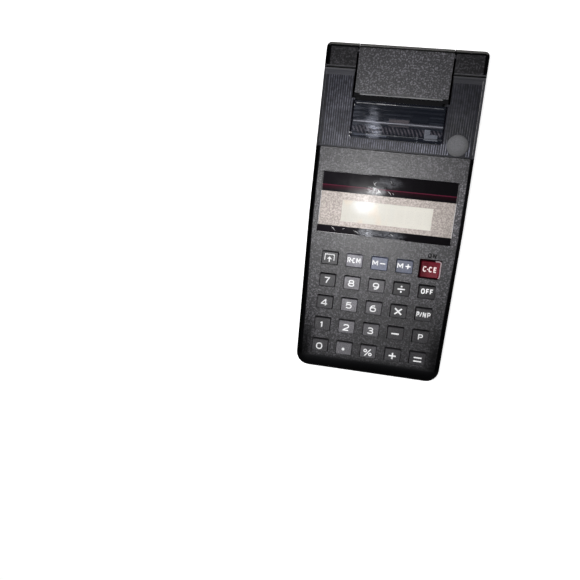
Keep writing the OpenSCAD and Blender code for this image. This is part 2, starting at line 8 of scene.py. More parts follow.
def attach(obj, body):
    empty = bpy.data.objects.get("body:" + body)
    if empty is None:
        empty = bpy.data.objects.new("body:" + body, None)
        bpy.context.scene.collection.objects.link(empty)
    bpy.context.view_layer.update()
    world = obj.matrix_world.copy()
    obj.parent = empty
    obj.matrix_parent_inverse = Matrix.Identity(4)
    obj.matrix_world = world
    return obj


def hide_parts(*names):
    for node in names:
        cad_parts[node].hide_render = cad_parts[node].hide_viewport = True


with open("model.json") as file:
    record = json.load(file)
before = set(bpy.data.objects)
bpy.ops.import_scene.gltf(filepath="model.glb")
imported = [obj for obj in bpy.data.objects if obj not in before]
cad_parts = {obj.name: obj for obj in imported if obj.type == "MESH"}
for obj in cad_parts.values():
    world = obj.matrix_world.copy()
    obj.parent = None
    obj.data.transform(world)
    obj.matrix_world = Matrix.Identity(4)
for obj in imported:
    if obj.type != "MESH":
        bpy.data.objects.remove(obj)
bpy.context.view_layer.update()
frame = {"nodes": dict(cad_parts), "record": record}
CAD = frame["nodes"]
MM = 0.001


# ---------------------------------------------------------------- materials
class Shade:
    """A node material on object coordinates, in metres."""

    def __init__(self, name):
        self.m = bpy.data.materials.new(name)
        self.m.use_nodes = True
        self.t = self.m.node_tree
        self.t.nodes.clear()
        self.out = self.t.nodes.new("ShaderNodeOutputMaterial")
        self.p = self.t.nodes.new("ShaderNodeBsdfPrincipled")
        self.t.links.new(self.p.outputs[0], self.out.inputs[0])
        self.co = self.t.nodes.new("ShaderNodeTexCoord").outputs["Object"]
        self.xyz = None

    def link(self, value, socket):
        if isinstance(value, bpy.types.NodeSocket):
            self.t.links.new(value, socket)
        elif value is not None:
            socket.default_value = value

    def math(self, op, a, b=None, c=None, clamp=False):
        n = self.t.nodes.new("ShaderNodeMath")
        n.operation = op
        n.use_clamp = clamp
        for k, v in enumerate((a, b, c)):
            if v is not None:
                self.link(v, n.inputs[k])
        return n.outputs[0]

    def axis(self, k):
        if self.xyz is None:
            self.xyz = self.t.nodes.new("ShaderNodeSeparateXYZ")
            self.t.links.new(self.co, self.xyz.inputs[0])
        return self.xyz.outputs[k]

    def noise(self, scale, detail=2.0, rough=0.5, stretch=None, distortion=0.0):
        n = self.t.nodes.new("ShaderNodeTexNoise")
        n.inputs["Scale"].default_value = scale
        n.inputs["Detail"].default_value = detail
        n.inputs["Roughness"].default_value = rough
        n.inputs["Distortion"].default_value = distortion
        self.link(self.stretched(stretch), n.inputs["Vector"])
        return n.outputs[0]

    def stretched(self, by):
        if by is None:
            return self.co
        n = self.t.nodes.new("ShaderNodeVectorMath")
        n.operation = "MULTIPLY"
        self.t.links.new(self.co, n.inputs[0])
        n.inputs[1].default_value = by
        return n.outputs[0]

    def cells(self, scale, stretch=None, feature="F1"):
        n = self.t.nodes.new("ShaderNodeTexVoronoi")
        n.feature = feature
        n.inputs["Scale"].default_value = scale
        self.link(self.stretched(stretch), n.inputs["Vector"])
        return n.outputs["Distance"]

    def span(self, value, a, b, lo=0.0, hi=1.0, soft=True):
        n = self.t.nodes.new("ShaderNodeMapRange")
        n.interpolation_type = "SMOOTHSTEP" if soft else "LINEAR"
        self.link(value, n.inputs["Value"])
        for key, v in (("From Min", a), ("From Max", b), ("To Min", lo), ("To Max", hi)):
            n.inputs[key].default_value = v
        return n.outputs[0]

    def mix(self, fac, a, b):
        n = self.t.nodes.new("ShaderNodeMix")
        n.data_type = "RGBA"
        self.link(fac, n.inputs[0])
        for v, k in ((a, 6), (b, 7)):
            if not isinstance(v, bpy.types.NodeSocket):
                v = (*v, 1.0)
            self.link(v, n.inputs[k])
        return n.outputs[2]

    def scale(self, colour, by):
        n = self.t.nodes.new("ShaderNodeVectorMath")
        n.operation = "SCALE"
        self.t.links.new(colour, n.inputs[0])
        self.link(by, n.inputs[3])
        return n.outputs[0]

    def bump(self, height, strength, distance, normal=None):
        n = self.t.nodes.new("ShaderNodeBump")
        n.inputs["Strength"].default_value = strength
        n.inputs["Distance"].default_value = distance
        self.link(height, n.inputs["Height"])
        if normal is not None:
            self.t.links.new(normal, n.inputs["Normal"])
        return n.outputs[0]

    def set(self, **values):
        names = {"base": "Base Color", "rough": "Roughness", "metal": "Metallic", "normal": "Normal",
                 "spec": "Specular IOR Level", "ior": "IOR", "coat": "Coat Weight", "coat_rough": "Coat Roughness",
                 "alpha": "Alpha", "sheen": "Sheen Weight"}
        for k, v in values.items():
            if isinstance(v, tuple) and len(v) == 3:
                v = (*v, 1.0)
            self.link(v, self.p.inputs[names[k]])
        return self

    def see_through(self, tint, base, low, high, power=5.0):
        """Clear plastic: mostly passes light straight on, and reflects more at a low angle."""
        clear = self.t.nodes.new("ShaderNodeBsdfTransparent")
        clear.inputs[0].default_value = (*tint, 1.0)
        lw = self.t.nodes.new("ShaderNodeLayerWeight")
        lw.inputs[0].default_value = 0.5
        facing = self.math("POWER", lw.outputs["Facing"], power)
        fac = self.span(facing, 0.0, 1.0, low, high, soft=False)
        m = self.t.nodes.new("ShaderNodeMixShader")
        self.t.links.new(fac, m.inputs[0])
        self.t.links.new(clear.outputs[0], m.inputs[1])
        self.t.links.new(self.p.outputs[0], m.inputs[2])
        self.t.links.new(m.outputs[0], self.out.inputs[0])
        self.set(base=base)
        return self


def taper_in(s, y):
    """How far the sides close in towards the keyboard end."""
    k = s.math("MAXIMUM", s.math("DIVIDE", s.math("SUBTRACT", 0.016, y), 0.105), 0.0)
    return s.math("MULTIPLY", s.math("POWER", k, 1.7), 0.0019)


def grained(name, tone, fleck, rough=0.47, size=1300.0, spec=0.5, grain=0.5):
    """Moulded plastic with a fine two-tone speckle."""
    s = Shade(name)
    big = s.noise(size, 1.5, 0.6)
    fine = s.noise(size * 2.3, 1.0, 0.5)
    flecks = s.span(big, 0.46, 0.70)
    base = s.mix(flecks, tone, fleck)
    wear = s.noise(38.0, 3.0, 0.6)
    s.tone = s.scale(base, s.span(wear, 0.3, 0.7, 0.85, 1.15))
    n = s.bump(big, grain, 0.00022)
    n = s.bump(fine, grain * 0.5, 0.0001, n)
    s.fine = fine
    s.set(base=s.tone, rough=s.span(fine, 0.3, 0.7, rough - 0.05, rough + 0.05), normal=n, spec=spec)
    return s


GREY = (0.0125, 0.0119, 0.0142)
GREY_FLECK = (0.099, 0.094, 0.107)
BLACK = (0.0028, 0.0028, 0.0032)


def groove(s):
    """The narrow channel in front of the rear rim."""
    return s.math("MULTIPLY", s.span(s.axis(1), 0.08655, 0.08675), s.span(s.axis(1), 0.08760, 0.08745))


def case_top():
    s = grained("case_grey", GREY, GREY_FLECK, rough=0.385, size=1230.0, spec=0.34, grain=0.40)
    x, y, z = s.axis(0), s.axis(1), s.axis(2)
    ax = s.math("ADD", s.math("ABSOLUTE", s.math("SUBTRACT", x, 0.00025)), taper_in(s, y))
    ax = s.math("ADD", ax, s.span(y, 0.0, -0.055, 0.0, 0.0006))
    # painted shade: the side and front roundings, the deck under the printer cover and the low parts are painted black
    side = s.span(ax, 0.03905, 0.03965)
    front = s.span(s.math("MULTIPLY", y, -1.0), 0.0786, 0.0822)
    deck = s.math("MULTIPLY", s.span(y, 0.0343, 0.0347), s.span(z, 0.0321, 0.0317))
    low = s.math("MULTIPLY", s.span(z, 0.0317, 0.0308), s.span(y, 0.0764, 0.0760))
    dark = s.math("MAXIMUM", s.math("MAXIMUM", side, front), s.math("MAXIMUM", deck, low))
    # painted highlight: the rear rim is painted a pale olive grey where it catches light
    rim = s.span(y, 0.0869, 0.0873)
    dark = s.math("MULTIPLY", dark, s.math("SUBTRACT", 1.0, rim))
    # painted shade: the rear panels are painted darker
    back = s.math("MULTIPLY", s.span(y, 0.0768, 0.0772), s.math("SUBTRACT", 1.0, rim))
    # the face falls away from the light towards the lower corners
    edge = s.math("MULTIPLY", s.span(ax, 0.0300, 0.0385), s.span(y, -0.040, -0.078))
    edge = s.math("MULTIPLY", edge, s.span(x, -0.04, 0.04, 0.90, 0.84))
    fade = s.math("MAXIMUM", s.math("MAXIMUM", dark, edge), s.math("MULTIPLY", back, 0.62))
    base = s.mix(fade, s.tone, BLACK)
    base = s.mix(s.math("MULTIPLY", rim, s.span(z, 0.022, 0.026)), base, (0.072, 0.070, 0.066))
    # painted light: the upright wall in front of the rear panels is painted lighter where the flash reaches it
    wall = s.math("MULTIPLY", s.span(s.math("ABSOLUTE", s.math("SUBTRACT", y, 0.07695)), 0.0003, 0.0001), s.span(z, 0.0290, 0.0295))
    base = s.mix(wall, base, (0.085, 0.085, 0.091))
    # painted shade: the groove in front of the rear rim is painted black
    channel = s.math("MULTIPLY", groove(s), s.span(z, 0.0326, 0.0322))
    base = s.mix(channel, base, BLACK)
    # painted shade: the front rounding is painted darker still at the front edge
    base = s.mix(s.math("MULTIPLY", front, s.span(y, -0.0790, -0.0826)), base, (0.018, 0.018, 0.020))
    # the painted shade zones turn metallic on their black colour, so they give no highlight
    shade_no_gloss = s.math("MAXIMUM", s.math("MAXIMUM", dark, edge), s.math("MAXIMUM", channel, s.math("MULTIPLY", back, 0.58)))
    shade_no_gloss = s.math("MULTIPLY", shade_no_gloss, s.math("SUBTRACT", 1.0, wall))
    # the upright walls show the plain speckle again, painted at a third of its brightness as shade
    upright = s.math("MULTIPLY", s.math("MAXIMUM", side, front), s.span(z, 0.0285, 0.0255))
    base = s.mix(upright, base, s.scale(s.tone, 0.32))
    shade_no_gloss = s.math("MULTIPLY", shade_no_gloss, s.math("SUBTRACT", 1.0, upright))
    # less light comes back from the keyboard end and its right-hand side
    far = s.math("MULTIPLY", s.span(y, -0.033, -0.053), s.span(x, -0.022, 0.004, 0.2, 1.0))
    base = s.scale(base, s.math("SUBTRACT", 1.0, s.math("MULTIPLY", far, 0.40)))
    # painted highlight: a strip of the face right of the lens is painted lighter
    lit_strip = s.math("MULTIPLY", s.span(x, 0.0360, 0.0368), s.math("MULTIPLY", s.span(y, -0.014, -0.008), s.span(y, 0.026, 0.018)))
    base = s.scale(base, s.math("ADD", 1.0, s.math("MULTIPLY", lit_strip, 0.75)))
    s.set(base=base, rough=s.math("ADD", s.span(fade, 0.0, 1.0, 0.385, 0.62, soft=False), s.span(s.fine, 0.3, 0.7, -0.04, 0.04)), metal=shade_no_gloss)
    return s


def cover_back():
    """The paper cover: the same plastic, with its piece of the rear rim painted pale as a highlight and the groove in
    front of it painted black as shade.
    """
    s = grained("cover_grey", (0.0140, 0.0136, 0.0160), (0.112, 0.108, 0.124), rough=0.385, size=1250.0, spec=0.43, grain=0.35)
    y, z = s.axis(1), s.axis(2)
    rim = s.math("MULTIPLY", s.span(y, 0.0869, 0.0873), s.span(z, 0.022, 0.026))
    channel = s.math("MULTIPLY", groove(s), s.span(z, 0.0329, 0.0326))
    s.set(base=s.mix(channel, s.mix(rim, s.tone, (0.072, 0.070, 0.066)), (0.004, 0.004, 0.004)), metal=s.math("MULTIPLY", channel, 0.8))
    return s


def case_dark():
    s = grained("case_black", (0.0035, 0.0035, 0.0042), (0.0090, 0.0090, 0.0105), rough=0.5, size=1400.0, spec=0.2, grain=0.35)
    scuff = s.noise(260.0, 4.0, 0.7, stretch=(1.0, 0.25, 1.0))
    base = s.mix(s.span(scuff, 0.62, 0.78), s.tone, (0.022, 0.022, 0.024))
    s.set(base=s.scale(base, s.span(s.axis(2), 0.020, 0.014, 1.0, 2.8)))
    return s


def smoke(name="smoke", low=(0.0060, 0.0062, 0.0098), high=(0.0130, 0.0132, 0.0190), gain=None):
    s = Shade(name)
    x, y = s.axis(0), s.axis(1)
    ax = s.math("ABSOLUTE", x)
    haze = s.noise(70.0, 4.0, 0.6)
    mottle = s.noise(420.0, 3.0, 0.65)
    fine = s.noise(1500.0, 2.0, 0.6)
    base = s.mix(s.span(haze, 0.35, 0.7), low, high)
    base = s.scale(base, s.span(mottle, 0.3, 0.7, 0.55, 1.45))
    if gain:
        right = s.math("MULTIPLY", s.span(x, 0.020, 0.026), s.span(y, 0.040, 0.046))
        front = s.math("MULTIPLY", s.span(y, 0.0425, 0.0400), s.span(x, -0.036, 0.010, 0.35, 1.0))
        base = s.scale(base, s.math("ADD", s.math("ADD", 0.95, s.math("MULTIPLY", right, -0.62)), s.math("MULTIPLY", front, 0.85)))
    else:
        # painted light: the rolled sides and the rounded rear end are painted lighter where they catch light
        base = s.mix(s.span(ax, 0.0403, 0.0408), base, (0.040, 0.040, 0.047))
        end = s.scale(s.mix(s.span(y, 0.0745, 0.0760), (0.058, 0.058, 0.067), (0.190, 0.190, 0.205)), s.span(x, -0.025, 0.027, 1.0, 0.62))
        base = s.mix(s.span(y, 0.0720, 0.0725), base, end)
    # painted shade: the inner walls of the window opening are painted black
    frame_in = s.math("MULTIPLY", s.span(ax, 0.0247, 0.0245), s.math("MULTIPLY", s.span(y, 0.0412, 0.0416), s.span(y, 0.0605, 0.0600)))
    base = s.mix(frame_in, base, (0.004, 0.004, 0.006))
    s.set(rough=s.span(fine, 0.3, 0.7, 0.34, 0.41), normal=s.bump(mottle, 0.10, 0.00025, s.bump(fine, 0.25, 0.00012)), spec=0.19, metal=frame_in)
    s.see_through((0.30, 0.31, 0.36), (0.01, 0.01, 0.01), 0.92, 1.0, 2.0)
    s.set(base=base)
    return s


def spot(s, cx, cy, rx, ry, inner=0.0):
    """A soft elliptical patch on the top face: 1 in the middle, 0 outside."""
    dx = s.math("DIVIDE", s.math("SUBTRACT", s.axis(0), cx), rx)
    dy = s.math("DIVIDE", s.math("SUBTRACT", s.axis(1), cy), ry)
    r = s.math("SQRT", s.math("ADD", s.math("MULTIPLY", dx, dx), s.math("MULTIPLY", dy, dy)))
    return s.span(r, 1.0, inner)


def clear_smoke():
    """Tinted window plate with a painted reflection of the flash as a pale streak across its left part, and fine haze
    specks.
    """
    s = Shade("clear_smoke")
    swirl = s.noise(240.0, 3.0, 0.7, stretch=(0.35, 1.0, 1.0), distortion=0.8)
    ripple = s.noise(620.0, 3.0, 0.6, stretch=(0.16, 1.0, 0.3), distortion=0.5)
    speck = s.span(s.noise(1100.0, 2.0, 0.7, stretch=(0.7, 1.0, 1.0)), 0.66, 0.76)
    top = s.span(s.axis(2), 0.0318, 0.0322)
    # painted reflection: a pale streak of the flash's reflection across the left of the window
    flash_streak = s.math("ADD", s.math("MULTIPLY", spot(s, -0.0118, 0.0452, 0.0052, 0.0056), 0.26), s.math("MULTIPLY", spot(s, -0.0134, 0.0500, 0.0052, 0.0110), 0.075))
    left = s.math("MULTIPLY", s.span(s.axis(0), -0.0135, -0.0235), 0.020)
    haze = s.math("MULTIPLY", s.math("ADD", s.math("ADD", flash_streak, left), s.math("MULTIPLY", speck, 0.06)), s.span(ripple, 0.40, 0.58, 0.12, 1.5))
    s.set(rough=s.span(swirl, 0.4, 0.75, 0.15, 0.24), normal=s.bump(ripple, 0.10, 0.00010), spec=0.5, metal=0.0)
    clear = s.t.nodes.new("ShaderNodeBsdfTransparent")
    clear.inputs[0].default_value = (0.68, 0.695, 0.73, 1.0)
    lw = s.t.nodes.new("ShaderNodeLayerWeight")
    lw.inputs[0].default_value = 0.5
    gloss = s.span(s.math("POWER", lw.outputs["Facing"], 5.0), 0.0, 1.0, 0.07, 0.95, soft=False)
    fac = s.math("ADD", gloss, s.math("MULTIPLY", haze, top), clamp=True)
    m = s.t.nodes.new("ShaderNodeMixShader")
    s.t.links.new(fac, m.inputs[0])
    s.t.links.new(clear.outputs[0], m.inputs[1])
    s.t.links.new(s.p.outputs[0], m.inputs[2])
    s.t.links.new(m.outputs[0], s.out.inputs[0])
    s.set(base=s.mix(s.span(s.math("MULTIPLY", haze, top), 0.0, 0.05), (0.060, 0.070, 0.105), (0.56, 0.59, 0.72)))
    return s


def lens():
    """Clear plastic, rubbed dull here and there by use; its pale patches are partly that wear and partly a painted
    reflection of the flash.
    """
    s = Shade("lens")
    rub = s.noise(420.0, 4.0, 0.7, stretch=(1.0, 0.5, 1.0), distortion=1.2)
    s.set(rough=s.span(rub, 0.35, 0.75, 0.12, 0.19), metal=0.0, spec=0.5)
    clear = s.t.nodes.new("ShaderNodeBsdfTransparent")
    clear.inputs[0].default_value = (0.975, 0.975, 0.98, 1.0)
    lw = s.t.nodes.new("ShaderNodeLayerWeight")
    lw.inputs[0].default_value = 0.5
    gloss = s.span(s.math("POWER", lw.outputs["Facing"], 5.0), 0.0, 1.0, 0.0145, 0.95, soft=False)
    streak = s.noise(560.0, 5.0, 0.8, stretch=(0.6, 0.9, 1.0), distortion=3.0)
    # pale patches: partly rubbed wear, partly a painted reflection of the flash around its reflection spots
    wear_and_sheen = s.math("ADD", s.math("MULTIPLY", spot(s, -0.0088, -0.0092, 0.0066, 0.0036), 0.52), s.math("MULTIPLY", spot(s, 0.0028, -0.0090, 0.0115, 0.0032), 0.24))
    wear_and_sheen = s.math("ADD", wear_and_sheen, s.math("MULTIPLY", spot(s, -0.0005, 0.0186, 0.0110, 0.0044), 0.10))
    wear_and_sheen = s.math("ADD", wear_and_sheen, s.math("MULTIPLY", spot(s, -0.0065, 0.0140, 0.0075, 0.0034), 0.20))
    wear_and_sheen = s.math("MULTIPLY", wear_and_sheen, s.span(streak, 0.44, 0.64))
    fac = s.math("ADD", gloss, wear_and_sheen, clamp=True)
    m = s.t.nodes.new("ShaderNodeMixShader")
    s.t.links.new(fac, m.inputs[0])
    s.t.links.new(clear.outputs[0], m.inputs[1])
    s.t.links.new(s.p.outputs[0], m.inputs[2])
    s.t.links.new(m.outputs[0], s.out.inputs[0])
    s.set(base=s.mix(s.span(wear_and_sheen, 0.0, 0.03), (0.02, 0.02, 0.022), (0.74, 0.77, 0.86)))
    return s


def mask():
    """Print on the back of the lens: silver fleck field, black bands, a thin dark red line that fades upwards."""
    s = Shade("mask")
    x, y = s.axis(0), s.axis(1)
    fleck = s.noise(1250.0, 2.0, 0.6)
    soft = s.noise(45.0, 2.0, 0.5)
    silver = s.mix(s.span(fleck, 0.38, 0.64), (0.220, 0.196, 0.178), (0.355, 0.320, 0.294))
    silver = s.scale(silver, s.span(soft, 0.3, 0.7, 0.94, 1.06))
    black = s.math("MAXIMUM", s.span(y, 0.01150, 0.01168), s.span(y, -0.00682, -0.00700))
    # painted highlight: a pale border along the lens edges
    lens_edge_highlight = s.math("MAXIMUM", s.span(s.math("ABSOLUTE", x), 0.03585, 0.0360), s.span(s.math("ABSOLUTE", s.math("SUBTRACT", y, 0.00565)), 0.0162, 0.01635))
    line = s.math("MULTIPLY", s.span(y, 0.01462, 0.01480), s.span(y, 0.01530, 0.01512))
    glow = s.math("MULTIPLY", s.span(y, 0.0121, 0.0146), s.span(y, 0.01475, 0.01462))
    ink = s.mix(glow, (0.0052, 0.0040, 0.0056), (0.022, 0.0036, 0.0078))
    ink = s.scale(ink, s.span(x, -0.030, 0.030, 1.7, 0.55))
    ink = s.mix(line, ink, (0.105, 0.013, 0.032))
    base = s.mix(black, silver, ink)
    base = s.mix(s.math("MULTIPLY", lens_edge_highlight, s.math("SUBTRACT", 1.0, black)), base, (0.30, 0.29, 0.285))
    s.set(base=base, rough=s.span(black, 0.0, 1.0, 0.5, 0.8), metal=s.span(black, 0.0, 1.0, 0.6, 0.0), spec=0.05)
    s.set(normal=s.bump(fleck, 0.2, 0.0001))
    return s


def lcd():
    s = Shade("lcd")
    x, y = s.axis(0), s.axis(1)
    cloud = s.noise(26.0, 2.0, 0.5)
    base = s.mix(s.span(cloud, 0.3, 0.7), (0.695, 0.668, 0.585), (0.735, 0.712, 0.640))
    tint = s.noise(150.0, 1.0, 0.5, stretch=(1.0, 0.35, 1.0))
    near = s.span(x, 0.006, -0.006)
    base = s.mix(s.math("MULTIPLY", s.math("MULTIPLY", s.span(tint, 0.52, 0.66), near), 0.5), base, (0.80, 0.66, 0.52))
    base = s.mix(s.math("MULTIPLY", s.math("MULTIPLY", s.span(tint, 0.46, 0.34), near), 0.45), base, (0.64, 0.74, 0.74))
    # painted highlight: a pale patch where the flash reflects on the display
    base = s.mix(s.math("MULTIPLY", spot(s, -0.0125, 0.0050, 0.0085, 0.0060), 0.8), base, (0.86, 0.86, 0.86))
    cell = s.math("ABSOLUTE", s.math("SUBTRACT", s.math("FRACT", s.math("MULTIPLY", s.math("ADD", x, 0.024), 204.0)), 0.5))
    window = s.math("MULTIPLY", s.span(s.math("ABSOLUTE", s.math("SUBTRACT", y, 0.0017)), 0.0036, 0.0033), s.span(cell, 0.40, 0.36))
    base = s.mix(s.math("MULTIPLY", window, 0.05), base, (0.45, 0.46, 0.42))
    s.set(base=s.scale(base, s.span(x, -0.022, 0.020, 1.12, 1.16)), rough=s.span(cloud, 0.2, 0.8, 0.4, 0.5), spec=0.12)
    return s


def key_plastic(name, tone, fleck, rough=0.34, spec=0.25, wear_and_sheen=False):
    s = Shade(name)
    fine = s.noise(1500.0, 2.0, 0.6)
    patch = s.noise(190.0, 3.0, 0.6)
    base = s.mix(s.span(fine, 0.35, 0.68), tone, fleck)
    base = s.scale(base, s.span(patch, 0.3, 0.7, 0.86, 1.14))
    if wear_and_sheen:
        # painted highlight: the second row of keys from the left is painted palest, its neighbours less, for the
        # flash's reflection on their tops
        x, z = s.axis(0), s.axis(2)
        pale = s.span(s.math("ABSOLUTE", s.math("ADD", x, 0.0140)), 0.0085, 0.0035)
        near = s.span(x, 0.0100, 0.0035)
        pale = s.math("MULTIPLY", pale, s.span(s.axis(1), -0.050, -0.066, 1.72, 1.0))
        low = s.math("MULTIPLY", s.span(s.axis(1), -0.042, -0.048), s.math("MULTIPLY", s.span(x, 0.004, 0.010, 0.0, 0.46), s.span(x, 0.018, 0.022, 1.0, 0.60)))
        mid = s.math("MULTIPLY", s.span(s.math("ABSOLUTE", s.math("ADD", x, 0.0068)), 0.0135, 0.0115), s.span(s.axis(1), -0.066, -0.072, 0.98, 0.70))
        k = s.math("ADD", s.math("ADD", s.math("ADD", 0.47, s.math("MULTIPLY", near, 0.50)), s.math("ADD", low, mid)), pale)
        k = s.math("ADD", s.math("MULTIPLY", s.span(z, 0.0332, 0.0345), s.math("SUBTRACT", k, 0.5)), 0.5)
        base = s.scale(base, k)
    if name == "key_blue":
        # painted highlight: the left blue key is painted lighter than the right one
        base = s.scale(base, s.span(s.axis(0), 0.0045, 0.0090, 1.46, 1.10))
    if name == "key_red":
        # painted highlight and shade: the red key is painted lighter to the right and darker to the left
        base = s.scale(base, s.span(s.axis(0), 0.0225, 0.0310, 0.80, 1.35))
        # painted shade: the red key's lower sides and front are painted near black
        base = s.mix(s.math("MULTIPLY", s.span(s.axis(2), 0.0345, 0.03495), s.span(s.axis(1), -0.0290, -0.0286)), (0.012, 0.002, 0.003), base)
    s.set(base=base, rough=s.span(patch, 0.25, 0.75, rough - 0.03, rough + 0.04), normal=s.bump(fine, 0.15, 0.0001), spec=spec)
    return s


def void_black():
    """Deep shadow colour for parts that are seen only through gaps."""
    s = Shade("void_black")
    s.set(base=s.mix(s.noise(600.0, 2.0), (0.0035, 0.0035, 0.0040), (0.0080, 0.0080, 0.0090)), rough=0.6, metal=0.9)
    return s


def plain(name, a, b, rough, size=900.0, spec=0.5, metal=0.0, grain=0.2, stretch=None):
    s = Shade(name)
    fine = s.noise(size, 3.0, 0.6, stretch=stretch)
    patch = s.noise(80.0, 3.0, 0.6)
    base = s.scale(s.mix(s.span(fine, 0.35, 0.68), a, b), s.span(patch, 0.3, 0.7, 0.88, 1.12))
    s.set(base=base, rough=s.span(fine, 0.25, 0.75, rough - 0.06, rough + 0.08), normal=s.bump(fine, grain, 0.0001), spec=spec)
    s.p.inputs["Metallic"].default_value = metal
    return s


def board():
    s = Shade("board")
    y, x = s.axis(1), s.axis(0)
    run = s.noise(120.0, 0.0, 0.5, stretch=(1.0, 0.12, 1.0))
    tracks = s.math("LESS_THAN", s.math("ABSOLUTE", s.math("SUBTRACT", s.math("FRACT", s.math("MULTIPLY", s.math("ADD", x, s.math("MULTIPLY", run, 0.004)), 620.0)), 0.5)), 0.2)
    fine = s.noise(900.0, 2.0)
    base = s.mix(tracks, (0.012, 0.060, 0.026), (0.022, 0.110, 0.050))
    s.set(base=s.scale(base, s.span(fine, 0.3, 0.7, 0.85, 1.1)), rough=0.42, normal=s.bump(tracks, 0.25, 0.00005))
    return s


def cell():
    """Round cells laid head to tail: dark sleeve, copper shoulder, bare metal ends."""
    s = Shade("cell")
    x, y = s.axis(0), s.axis(1)
    place = s.math("FLOOR", s.math("DIVIDE", s.math("ADD", x, 0.0292), 0.0146))
    odd = s.math("SUBTRACT", 1.0, s.math("MULTIPLY", s.math("MODULO", place, 2.0), 2.0))
    along = s.math("MULTIPLY", s.math("ADD", y, 0.057), odd)
    copper = s.span(along, 0.0098, 0.0101)
    ends = s.math("MAXIMUM", s.span(along, 0.02385, 0.0240), s.span(along, -0.0242, -0.0244))
    fine = s.noise(300.0, 2.0, 0.5)
    base = s.mix(copper, (0.012, 0.012, 0.013), (0.50, 0.22, 0.085))
    base = s.mix(ends, base, (0.62, 0.62, 0.64))
    s.set(base=s.scale(base, s.span(fine, 0.3, 0.7, 0.92, 1.06)), rough=s.span(ends, 0.0, 1.0, 0.24, 0.33), metal=s.math("MULTIPLY", s.math("MAXIMUM", ends, copper), 0.85))
    return s


def brushed(name, tone, rough, stretch, metal=1.0):
    s = Shade(name)
    lines = s.noise(900.0, 3.0, 0.7, stretch=stretch)
    base = s.scale(s.mix(s.span(lines, 0.3, 0.7), tone, tuple(min(1.0, c * 1.25) for c in tone)), s.span(s.noise(60.0, 2.0), 0.3, 0.7, 0.9, 1.05))
    s.set(base=base, rough=s.span(lines, 0.3, 0.7, rough - 0.06, rough + 0.1), normal=s.bump(lines, 0.15, 0.00005))
    s.p.inputs["Metallic"].default_value = metal
    return s


def paper():
    s = Shade("paper")
    y, z = s.axis(1), s.axis(2)
    r = s.math("SQRT", s.math("ADD", s.math("POWER", s.math("SUBTRACT", y, 0.0753), 2.0), s.math("POWER", s.math("SUBTRACT", z, 0.0155), 2.0)))
    turns = s.math("FRACT", s.math("MULTIPLY", r, 4200.0))
    fibre = s.noise(500.0, 4.0, 0.6)
    base = s.mix(s.span(turns, 0.0, 0.5), (0.70, 0.69, 0.64), (0.84, 0.83, 0.78))
    s.set(base=s.scale(base, s.span(fibre, 0.3, 0.7, 0.94, 1.03)), rough=0.85, normal=s.bump(fibre, 0.15, 0.0001), spec=0.2)
    return s


def worm():
    """Moulded lead screw: pale slanted flanks on a dark core."""
    s = Shade("worm_plastic")
    x, y = s.axis(0), s.axis(1)
    lean = s.math("FRACT", s.math("ADD", s.math("MULTIPLY", x, 500.0), s.math("MULTIPLY", y, 260.0)))
    flank = s.span(s.math("ABSOLUTE", s.math("SUBTRACT", lean, 0.5)), 0.30, 0.16)
    fine = s.noise(900.0, 3.0, 0.6)
    base = s.mix(flank, (0.042, 0.036, 0.036), (0.42, 0.345, 0.325))
    s.set(base=s.scale(base, s.span(fine, 0.3, 0.7, 0.6, 1.3)), rough=0.42, normal=s.bump(fine, 0.2, 0.0001))
    return s


def carriage_plastic():
    """Print carriage: dark in front of and behind its pale back rib."""
    s = Shade("carriage")
    y = s.axis(1)
    fine, patch = s.noise(1100.0, 3.0, 0.6), s.noise(80.0, 3.0, 0.6)
    base = s.scale(s.mix(s.span(fine, 0.35, 0.68), (0.260, 0.190, 0.160), (0.370, 0.280, 0.240)), s.span(patch, 0.3, 0.7, 0.88, 1.12))
    rib_here = s.math("MULTIPLY", s.span(y, 0.0490, 0.0493), s.span(y, 0.0526, 0.0523))
    s.set(base=s.mix(rib_here, (0.020, 0.017, 0.017), base), rough=s.span(fine, 0.25, 0.75, 0.39, 0.53), normal=s.bump(fine, 0.2, 0.0001))
    return s


